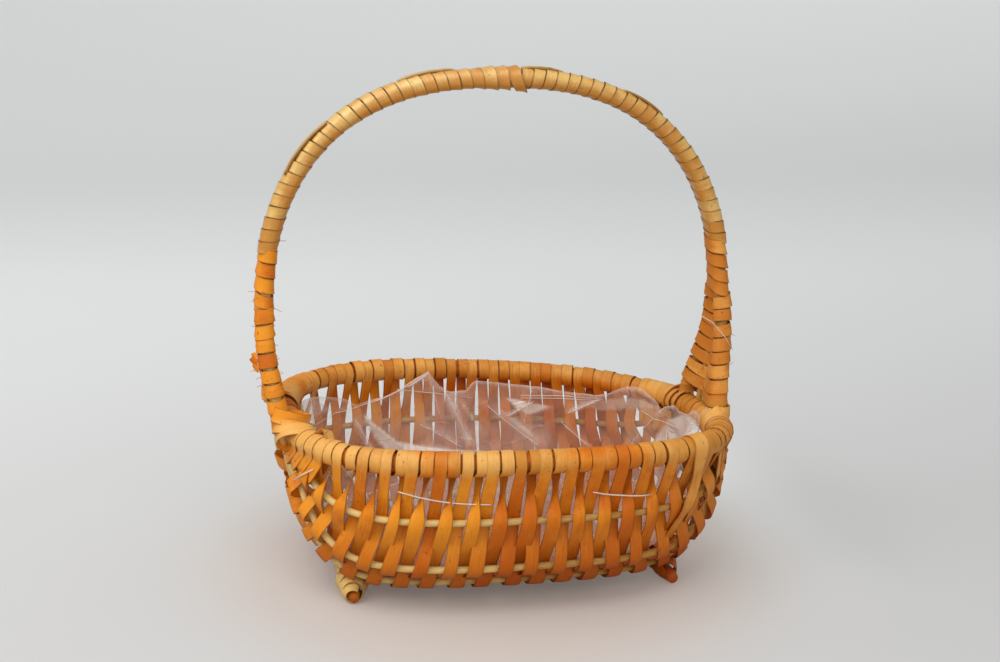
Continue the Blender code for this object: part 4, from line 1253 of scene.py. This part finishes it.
class Bag:
    """The film bag: a rest shape along the wall and the folds pressed into it."""

    # Film's edge, as (share of a turn from the right by way of the back, drop in m, lean inward in m)
    EDGE = (
        (0.0, -0.002, 0.005), (0.011, -0.0045, 0.005), (0.027, -0.0015, 0.006), (0.04, 0.0035, 0.005),
        (0.067, -0.002, 0.004), (0.083, -0.0057, 0.003), (0.097, -0.0043, 0.003), (0.108, -0.001, 0.003),
        (0.121, 0.0057, 0.002), (0.131, 0.0086, 0.002), (0.156, 0.010, 0.002), (0.183, 0.008, 0.002),
        (0.211, 0.0065, 0.002), (0.241, 0.0048, 0.002), (0.25, 0.0124, 0.003), (0.267, 0.0128, 0.004),
        (0.275, 0.0081, 0.005), (0.286, -0.0043, 0.006), (0.297, 0.001, 0.005), (0.311, 0.009, 0.003),
        (0.325, 0.0143, 0.002), (0.353, 0.019, 0.002), (0.364, 0.0128, 0.003), (0.389, 0.0071, 0.005),
        (0.422, 0.001, 0.002), (0.467, -0.001, 0.0), (0.511, 0.0, 0.0), (0.57, 0.0019, 0.0),
        (0.65, -0.0019, 0.0), (0.85, -0.0019, 0.0), (0.885, 0.0019, 0.001), (0.907, 0.0, 0.001),
        (0.932, -0.0095, 0.001), (0.963, -0.0088, 0.003), (0.973, -0.0035, 0.005), (1.0, -0.002, 0.005))

    # Pressed creases, as (angle, depth in mm) at both ends, height and half width in mm, strength of the painted
    # highlight
    CREASES = (
        ((185, 3), (136, 21), 1.6, 7, 0.5), ((136, 21), (118, 16), 2.6, 6, 0.9), ((121, 18), (110, 7), 2.8, 7, 1.0),
        ((110, 8), (103, -3), 3.0, 8, 0.7), ((128, 29), (123, 58), 2.4, 7, 1.0), ((123, 34), (113, 57), 2.6, 6, 1.0),
        ((114, 57), (97, 61), 2.2, 6, 0.9), ((103, -3), (99, 36), 2.2, 9, 0.5), ((97, 14), (90, 58), 4.2, 11, 1.0),
        ((83, 25), (67, 58), 2.6, 8, 0.7), ((77, 33), (68, 20), 2.4, 6, 1.0), ((58, 28), (46, 11), 3.0, 7, 1.0),
        ((60, 36), (51, 55), 1.6, 6, 0.5), ((30, 13), (-2, 11), 2.0, 7, 0.8), ((35, 46), (9, -2), 4.2, 9, 0.9),
        ((106, 39), (94, 57), 1.8, 7, 0.5), ((152, 0), (148, 44), 2.6, 9, 0.5), ((168, 10), (150, 52), 2.2, 8, 0.6),
        ((200, 4), (232, 50), 2.6, 9, 0.5), ((222, 2), (214, 58), 2.4, 8, 0.5), ((252, 6), (268, 62), 2.6, 9, 0.5),
        ((284, 4), (272, 50), 2.2, 8, 0.5), ((300, 6), (318, 58), 2.6, 9, 0.5), ((332, -2), (322, 48), 2.4, 8, 0.5),
        ((345, 0), (352, 40), 2.6, 7, 0.8), ((12, 20), (-8, 52), 2.2, 8, 0.5), ((68, 8), (72, 40), 1.8, 6, 0.4),
        ((88, 62), (150, 80), 2.0, 10, 0.4), ((250, 70), (80, 80), 2.4, 12, 0.4), ((300, 76), (30, 70), 2.4, 12, 0.4),
        ((200, 72), (330, 84), 2.4, 12, 0.4))

    # Painted highlights on the film, as the (angle, depth in mm) of their middle line, half width in mm, strength
    PATCHES = (
        (((124, 27), (122, 36), (119, 46), (116, 55), (107, 60), (97, 62), (87, 61)), 6.0, 1.0),
        (((77, 18), (70, 27), (63, 24)), 5.5, 0.95), (((176, 0), (160, 8), (148, 12), (138, 18)), 9.0, 0.5),
        (((24, 42), (18, 34), (8, 22), (-6, 6), (-30, -6)), 11.0, 0.82),
        (((55, 15), (47, 18), (31, 8), (20, 5)), 6.0, 0.5), (((108, 3), (102, 0), (98, 8), (105, 12)), 6.0, 0.45),
        (((82, 22), (74, 39), (66, 56)), 3.4, 0.6), (((94, 14), (89, 33), (83, 56)), 2.8, 0.66),
        (((136, 21), (118, 14), (110, 5)), 3.5, 0.6))

    FLOOR_SHARE = 0.26  # of the levels: below it the film lies on the floor
    EDGE_BAND = 0.035  # depth below the edge over which it leans inward

    def __init__(self, wall, liner):
        self.wall = wall
        self.liner = liner
        self.full = (wall.body.wall_depth - liner.floor_inset) * 0.985
        self.middle = wall.leaned(0.0, 0.0, self.full)
        self.stops, self.drops, self.leans = zip(*self.EDGE)
        self.lines = [[np.array(self.marked(*end)) for end in ends] for *ends, _, _, _ in self.CREASES]
        self.patches = [([np.array(self.marked(*spot)) for spot in line], *rest) for line, *rest in self.PATCHES]
        rng = random.Random(77)
        self.waves = []
        for index in range(6):
            direction = Vector((rng.uniform(-1, 1), rng.uniform(-1, 1), rng.uniform(-0.9, 0.9))).normalized()
            self.waves.append((np.array(direction), 0.024 + 0.007 * index, rng.uniform(0, 1)))

    def edge_at(self, turn_share, values):
        """The edge's drop or lean at a share of a turn."""
        return float(np.interp(turn_share % 1.0, self.stops, values))

    def marked(self, angle, depth):
        """Point of the unfolded bag at an angle in degrees and a depth in mm."""
        return self.rest_at(math.radians(angle), depth / 1000)

    def rest_at(self, angle, depth):
        """Point of the unfolded bag in one direction from its middle and at one depth."""
        body = self.wall.body
        inset_x = body.rim_half_length - self.liner.side_inset
        inset_y = body.rim_half_width - self.liner.side_inset
        full = body.wall_depth - self.liner.floor_inset
        inner, outer = 0.0, math.sqrt(2)
        for _ in range(20):
            reach = (inner + outer) / 2
            length_share = min(1.0, abs(reach * math.cos(angle)))
            width = self.wall.plan_width_share(length_share)
            fall = self.wall.keel_depth_share(length_share) * full
            inside = width > 0 and fall > 0 and (
                (abs(reach * math.sin(angle)) / width) ** body.section_power
                + (max(0.0, depth) / fall) ** body.section_power < 1.0)
            inner, outer = (reach, outer) if inside else (inner, reach)
        point = self.wall.leaned(inset_x * inner * math.cos(angle), inset_y * inner * math.sin(angle), max(depth, 0.0))
        if depth < 0:
            point.z -= depth
        turn_share = angle / (2.0 * math.pi)
        upper = eased(1.0 - (depth - self.edge_at(turn_share, self.drops)) / self.EDGE_BAND)
        inward = Vector((self.middle.x - point.x, self.middle.y - point.y, 0)).normalized()
        return point + inward * (self.edge_at(turn_share, self.leans) * upper)

    def rest(self, turn_share, level):
        """Point of the unfolded bag; level goes from the floor's middle to the film's edge."""
        angle = 2.0 * math.pi * turn_share
        if level < self.FLOOR_SHARE:
            return self.middle.lerp(self.rest_at(angle, self.full), level / self.FLOOR_SHARE)
        part = (level - self.FLOOR_SHARE) / (1.0 - self.FLOOR_SHARE)
        return self.rest_at(angle, self.full + (self.edge_at(turn_share, self.drops) - self.full) * part)

    def nearness(self, points, start, end):
        """How far along a line each point lies, and its distance from it in mm."""
        line = end - start
        part = np.clip((points - start) @ line / (line @ line), 0.0, 1.0)
        return part, np.linalg.norm(points - start - part[:, None] * line, axis=1) * 1000.0

    def folded(self, points):
        """Rest points with the creases and folds pressed in, and the strength of the painted highlight at each."""
        lift = np.zeros(len(points))
        painted_sheen = np.zeros(len(points))
        for (start, end), (_, _, height, reach, sheen_strength) in zip(self.lines, self.CREASES):
            part, away = self.nearness(points, start, end)
            fade = np.sqrt(np.clip(np.minimum(part, 1.0 - part) * 6.0, 0.0, 1.0))
            lift = np.maximum(lift, height * np.clip(1.0 - away / reach, 0.0, 1.0) * (0.4 + 0.6 * fade))
            painted_sheen = np.maximum(painted_sheen, sheen_strength * np.clip(1.0 - away / (0.55 * reach), 0.0, 1.0) * fade)
        for line, reach, sheen_strength in self.patches:
            for index, ends in enumerate(zip(line, line[1:])):
                part, away = self.nearness(points, *ends)
                narrowed = reach * (0.2 + 0.8 * np.sin(np.pi * (part + index) / (len(line) - 1)))
                painted_sheen = np.maximum(painted_sheen, sheen_strength * np.clip((narrowed - away) / 2.0, 0.0, 1.0))
        waves = np.zeros(len(points))
        for direction, period, phase in self.waves:
            place = points @ direction / period + phase
            waves += np.abs(2.0 * (place - np.floor(place)) - 1.0) / len(self.waves)
        push = lift / 1000.0 + self.liner.crumple * waves + 0.0005
        inward = np.array(self.middle) + np.array((0.0, 0.0, 0.05)) - points
        return points + unit(inward) * push[:, None], painted_sheen


class BASKET_OT_liner(Operator):
    """Model the crumpled clear bag"""
    bl_idname = "basket.liner"
    bl_label = "Clear Liner"

    GRID = (280, 96)  # steps round the bag and from its floor's middle to its edge
    # Strength of the painted highlight along the film's top edge
    EDGE_SHEEN = 0.55

    def execute(self, context):
        liner = context.scene.basket_liner
        bag = Bag(Wall(context.scene.basket_body), liner)
        film = surfaces(context.scene)["bag_film"]
        around, levels = self.GRID
        rest = np.array([bag.rest(column / around, row / levels)
                         for column in range(around + 1) for row in range(levels + 1)])
        folded, painted_sheen = bag.folded(rest)

        def place(column, row):
            index = column * (levels + 1) + row
            rim = eased((row / levels - 0.955) / 0.045)
            sheen_here = max(float(painted_sheen[index]), self.EDGE_SHEEN * rim)
            return Vector(folded[index]), (column / around, row / levels), sheen_here

        shape = bent_grid(around, levels, place)
        bmesh.ops.remove_doubles(shape, verts=shape.verts, dist=1e-6)
        piece = finish_piece("liner_bag", shape, film, ["plastic_liner"], recalculate=True)
        thicken(piece, liner.thickness)
        # Thin whitish tubes along the crease ridges, as painted glints.
        glint_tubes = []
        for start, end in bag.lines:
            points, _ = bag.folded(np.array([start + (end - start) * part / 28 for part in range(29)]))
            glint_tubes.append(tube_shape(points, 0.00018, (0.3, 0.2, 1.0), 1.15, sides=5))
        finish_piece("liner_creases", joined(glint_tubes), film)
        return {"FINISHED"}


class BASKET_OT_threads(Operator):
    """Sew the liner to the wall with short threads"""
    bl_idname = "basket.threads"
    bl_label = "Threads"

    # Middle lines of the second and the third stitch and of the loose thread at the right fork
    SECOND = (
        (0.0439, -0.1057, 0.0851), (0.0502, -0.1050, 0.0834), (0.0566, -0.1045, 0.0822), (0.0698, -0.1040, 0.0806),
        (0.0772, -0.1012, 0.0792), (0.0848, -0.0978, 0.0783))
    THIRD = (
        (-0.1403, -0.0446, 0.0797), (-0.1353, -0.0555, 0.0869), (-0.1328, -0.0576, 0.0890),
        (-0.1304, -0.0600, 0.0911), (-0.1280, -0.0629, 0.0934))
    LOOSE = ((0.1350, -0.024, 0.1763), (0.1436, -0.025, 0.1712), (0.1525, -0.0255, 0.1612), (0.1594, -0.024, 0.1512))
    # Threads on the film, as (angle, depth in mm) along each
    ON_FILM = (
        ((113, 10), (101, 13.5), (88, 18)), ((72, 15), (58, 12.5), (45, 11)), ((72, 17), (59, 15), (46, 12.5)))

    def execute(self, context):
        liner = context.scene.basket_liner
        splints = context.scene.basket_splints
        body = context.scene.basket_body
        wall = Wall(body)
        thread = surfaces(context.scene)["sewing_thread"]
        lift = splints.thickness / 2 + liner.thread_radius + 0.0003
        rib_turn = wall.rib_turns()[0]
        stitch = []
        for step in range(25):
            part = step / 24
            run_share = 0.295 + 0.14 * part
            rim, along, outward = wall.rim_frame(False, run_share)
            above = rim + outward * body.rim_wrap_radius
            rib, _, rib_outward = wall.frame(rib_turn, run_share)
            below = rib - rib_outward * splints.rib_lift
            normal = (below - above).cross(along).normalized()
            stitch.append(above.lerp(below, 0.45 + 0.23 * part + 0.05 * math.sin(math.pi * part)) + normal * lift)
        for number_of_stitch, points in enumerate((stitch, self.SECOND, self.THIRD), 1):
            shape = tube_shape(points, liner.thread_radius, UP, sides=8)
            finish_piece(f"thread_{number_of_stitch}", shape, thread, [f"stitch_{number_of_stitch}"])
        bag = Bag(wall, liner)
        inner = []
        for line in self.ON_FILM:
            spots = [bag.marked(*place) for place in line]
            points = [spot + (bag.middle + UP * 0.05 - spot).normalized() * 0.0034 for spot in spots]
            inner.append(tube_shape(points, liner.thread_radius * 0.7, UP, sides=6))
        finish_piece("threads_on_film", joined(inner), thread)
        finish_piece("loose_thread", tube_shape(self.LOOSE, 0.0003, BACKWARD, sides=6), thread)
        return {"FINISHED"}


class BASKET_OT_fibres(Operator):
    """Add the frayed fibres of the splints"""
    bl_idname = "basket.fibres"
    bl_label = "Frayed Fibres"

    # Frays on the legs: side, height, spread up and down, number
    FRAYS = ((-1, 0.227, 0.004, 12), (-1, 0.141, 0.007, 26), (-1, 0.178, 0.02, 8), (1, 0.15, 0.02, 8))
    # Torn strips at the front left leg: height, reach, tone
    TORN = ((0.1475, 0.0032, 0.15), (0.1515, 0.0044, 0.3), (0.1545, 0.0026, 0.0))

    def execute(self, context):
        scene = context.scene
        arch = Arch(scene.basket_handle, Wall(scene.basket_body))
        wood = surfaces(scene)["woven_wood"]
        rng = random.Random(91)
        shapes = []
        for side, height, spread, count in self.FRAYS:
            for _ in range(count):
                level = height + rng.uniform(-spread, spread)
                root = arch.leg_point(side, rng.random() < 0.7, level)
                angle = rng.uniform(0.0, 2.0 * math.pi)
                outward = swung(RIGHTWARD, BACKWARD, angle)
                start = root + outward * (arch.handle.rod_radius + 0.0014)
                reach = rng.uniform(0.002, 0.0055)
                bend = Vector(draws(rng, -1, 1, 3)) * reach * 0.5
                points = [start + outward * reach * part + bend * part * part for part in (0.0, 0.3, 0.6, 1.0)]
                shapes.append(tube_shape(points, 0.00018, UP + outward * 0.1, rng.uniform(-0.3, 0.3), sides=4))
        rim = arch.wall.rim_frame(False, 0.066 / arch.wall.length(0.0))[0]
        curl = [rim + Vector((0.0022, 0.002, 0.0095)) + swung(RIGHTWARD, UP, math.radians(angle)) * 0.0032
                for angle in range(170, -100, -18)]
        shapes.append(tube_shape(curl, 0.00028, BACKWARD, 0.2, sides=5))
        for level, reach, tone in self.TORN:
            middle = arch.leg_point(-1, True, level)
            stations = []
            for step in range(5):
                part = step / 4
                place = middle + Vector((-0.0063 - reach * part, -0.0024 + 0.002 * part, 0.003 * part * part))
                side = Vector((0.25 * part, 0.1, 1)).normalized()
                stations.append((place, side, 0.0052 - 0.0022 * part, 0.0005, tone))
            shapes.append(strip_shape(stations, 0.0012))
        finish_piece("frayed_fibres", joined(shapes), wood)
        return {"FINISHED"}


class BASKET_OT_studio(Operator):
    """Set the floor, backdrop, lamps and camera"""
    bl_idname = "basket.studio"
    bl_label = "Studio"

    FLOOR_FRONT, FLOOR_BACK = -3.0, 1.6
    HALF_WIDTH = 6.0
    BEND = 1.4  # radius of the bend from floor to backdrop
    BEND_STEPS = 12
    BACKDROP_HEIGHT = 6.0
    LAMP_AIM = Vector((0.0, 0.0, 0.1))
    LAMP_SIZE = 1.8

    def execute(self, context):
        studio = context.scene.basket_studio
        self.add_backdrop(studio)
        self.add_lamp("key", Vector((-0.8, -0.55, 1.5)), studio.key_power)
        self.add_lamp("fill", Vector((0.2, -1.9, 0.8)), studio.fill_power)
        world = bpy.data.worlds.new("studio_air")
        world.use_nodes = True
        background = world.node_tree.nodes["Background"]
        background.inputs["Color"].default_value = (0.97, 0.98, 1.0, 1.0)
        background.inputs["Strength"].default_value = studio.world_level
        context.scene.world = world
        context.scene.view_settings.view_transform = "Standard"
        self.add_camera(context.scene, studio)
        return {"FINISHED"}

    def add_backdrop(self, studio):
        """One sheet: a floor that curves up into a backdrop."""
        shape = bmesh.new()
        ends = [shape.verts.new((side * self.HALF_WIDTH, self.FLOOR_FRONT, 0.0)) for side in (-1, 1)]
        edge = shape.edges.new(ends)
        profile = [(self.FLOOR_BACK, 0.0)]
        for step in range(1, self.BEND_STEPS + 1):
            angle = math.pi / 2 * step / self.BEND_STEPS
            profile.append((self.FLOOR_BACK + self.BEND * math.sin(angle), self.BEND * (1.0 - math.cos(angle))))
        profile.append((self.FLOOR_BACK + self.BEND, self.BACKDROP_HEIGHT))
        depth, height = self.FLOOR_FRONT, 0.0
        for y, z in profile:
            made = bmesh.ops.extrude_edge_only(shape, edges=[edge])["geom"]
            corners = [item for item in made if isinstance(item, bmesh.types.BMVert)]
            bmesh.ops.translate(shape, verts=corners, vec=(0.0, y - depth, z - height))
            edge = next(item for item in made if isinstance(item, bmesh.types.BMEdge)
                        and all(corner in corners for corner in item.verts))
            depth, height = y, z
        bmesh.ops.recalc_face_normals(shape, faces=shape.faces)
        mesh = bpy.data.meshes.new("backdrop")
        shape.to_mesh(mesh)
        shape.free()
        for face in mesh.polygons:
            face.use_smooth = True
        mesh.materials.append(self.paper(studio))
        backdrop = bpy.data.objects.new("backdrop", mesh)
        bpy.context.scene.collection.objects.link(backdrop)
        backdrop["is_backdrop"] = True

    def paper(self, studio):
        """Pale sheet, warmer round the basket by painted bounce light, with a glow that only the camera sees."""
        surface = Surface("paper_sweep")
        fit, times = surface.fit, surface.times
        place = surface.node("ShaderNodeTexCoord").outputs["Object"]
        side, depth, _ = surface.axes(place)
        far = fit(depth, -0.2, 1.0)
        distance = surface.node("ShaderNodeVectorMath", {0: place}, operation="LENGTH").outputs["Value"]
        # Painted bounce light: a warmer colour and glow round the basket's footprint.
        painted_bounce = fit(distance, 0.12, 0.24, 1.0, 0.0)
        cloud = fit(surface.noise(place, 1.3, 2.0), 0.3, 0.7)
        sheet = surface.mix(cloud, rgba([0.985 * value for value in studio.floor]), rgba(studio.floor))
        sheet = surface.mix(painted_bounce, sheet, rgba([a * b for a, b in zip(studio.floor, (0.97, 0.87, 0.8))]))
        surface.set("Base Color", surface.mix(far, sheet, rgba(studio.backdrop)))
        surface.set("Emission Color", surface.mix(painted_bounce, rgba((0.97, 1.0, 0.99)), rgba((1.0, 0.90, 0.82))))
        glow = surface.math("ADD", times(far, 0.085), 0.11)
        glow = surface.added(glow, fit(depth, 1.6, 3.0), fit(side, -1.0, 1.5, 0.04, 0.14))
        # Painted light: extra glow on the floor right of the basket lifts its shadow there.
        beside = times(fit(side, 0.03, 0.16), fit(side, 0.18, 0.29, 0.15, 0.0), fit(depth, -0.16, 0.04, 0.0, 1.0))
        glow = surface.added(glow, beside, fit(depth, 0.1, 0.5, 1.0, 0.0))
        seen = surface.node("ShaderNodeLightPath").outputs["Is Camera Ray"]
        surface.set("Emission Strength", times(seen, glow))
        surface.set("Roughness", 0.85)
        surface.set("Specular IOR Level", 0.15)
        return surface.material

    def add_lamp(self, name, location, power):
        """Square area lamp that faces the basket."""
        data = bpy.data.lights.new(name, "AREA")
        data.shape = "SQUARE"
        data.size = self.LAMP_SIZE
        data.energy = power
        lamp = bpy.data.objects.new(name, data)
        lamp.location = location
        lamp.rotation_euler = (self.LAMP_AIM - location).to_track_quat("-Z", "Y").to_euler()
        bpy.context.scene.collection.objects.link(lamp)

    def add_camera(self, scene, studio):
        """Camera that looks at its aim from a distance and two angles."""
        elevation, azimuth, roll = studio.elevation, studio.azimuth, studio.roll
        back = Vector((math.sin(azimuth) * math.cos(elevation), -math.cos(azimuth) * math.cos(elevation),
                       math.sin(elevation)))
        right = (-back).cross(UP).normalized()
        upward = right.cross(-back)
        tilted_right, tilted_up = swung(right, upward, roll), swung(upward, -right, roll)
        data = bpy.data.cameras.new("studio_camera")
        data.lens = studio.lens
        data.sensor_fit = "HORIZONTAL"
        data.sensor_width = 36.0
        data.clip_end = 50.0
        camera = bpy.data.objects.new("studio_camera", data)
        turned = Matrix((tilted_right, tilted_up, back)).transposed().to_4x4()
        camera.matrix_world = Matrix.Translation(Vector(studio.aim) + back * studio.distance) @ turned
        scene.collection.objects.link(camera)
        scene.camera = camera


class BASKET_PT_sidebar(Panel):
    """The basket's settings and the operators that model it"""
    bl_idname = "BASKET_PT_sidebar"
    bl_label = "Splint Basket"
    bl_space_type = "VIEW_3D"
    bl_region_type = "UI"
    bl_category = "Basket"

    def draw(self, context):
        for name, group in GROUPS.items():
            box = self.layout.box()
            box.label(text=name.replace("_", " ").title())
            settings = getattr(context.scene, name)
            for key in group.__annotations__:
                box.prop(settings, key)
        for operator in OPERATORS:
            self.layout.operator(operator.bl_idname)


GROUPS = {
    "basket_body": BasketBodySettings,
    "basket_splints": BasketSplintSettings,
    "basket_handle": BasketHandleSettings,
    "basket_liner": BasketLinerSettings,
    "basket_studio": BasketStudioSettings,
}
OPERATORS = (
    BASKET_OT_rim_and_ribs,
    BASKET_OT_splints,
    BASKET_OT_handle,
    BASKET_OT_forks,
    BASKET_OT_rim_ends,
    BASKET_OT_feet,
    BASKET_OT_liner,
    BASKET_OT_threads,
    BASKET_OT_fibres,
    BASKET_OT_studio,
)


def register():
    for name, group in GROUPS.items():
        bpy.utils.register_class(group)
        setattr(bpy.types.Scene, name, PointerProperty(type=group))
    for operator in OPERATORS:
        bpy.utils.register_class(operator)
    bpy.utils.register_class(BASKET_PT_sidebar)


def unregister():
    bpy.utils.unregister_class(BASKET_PT_sidebar)
    for operator in reversed(OPERATORS):
        bpy.utils.unregister_class(operator)
    for name, group in reversed(GROUPS.items()):
        delattr(bpy.types.Scene, name)
        bpy.utils.unregister_class(group)


def main():
    register()
    for operator in OPERATORS:
        group, name = operator.bl_idname.split(".")
        getattr(getattr(bpy.ops, group), name)()
    boxes = {"cad": CAD_BOX, "scene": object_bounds()}
    plain = {name: [[float(value) for value in corner] for corner in box] for name, box in boxes.items()}


if __name__ == "__main__":
    main()
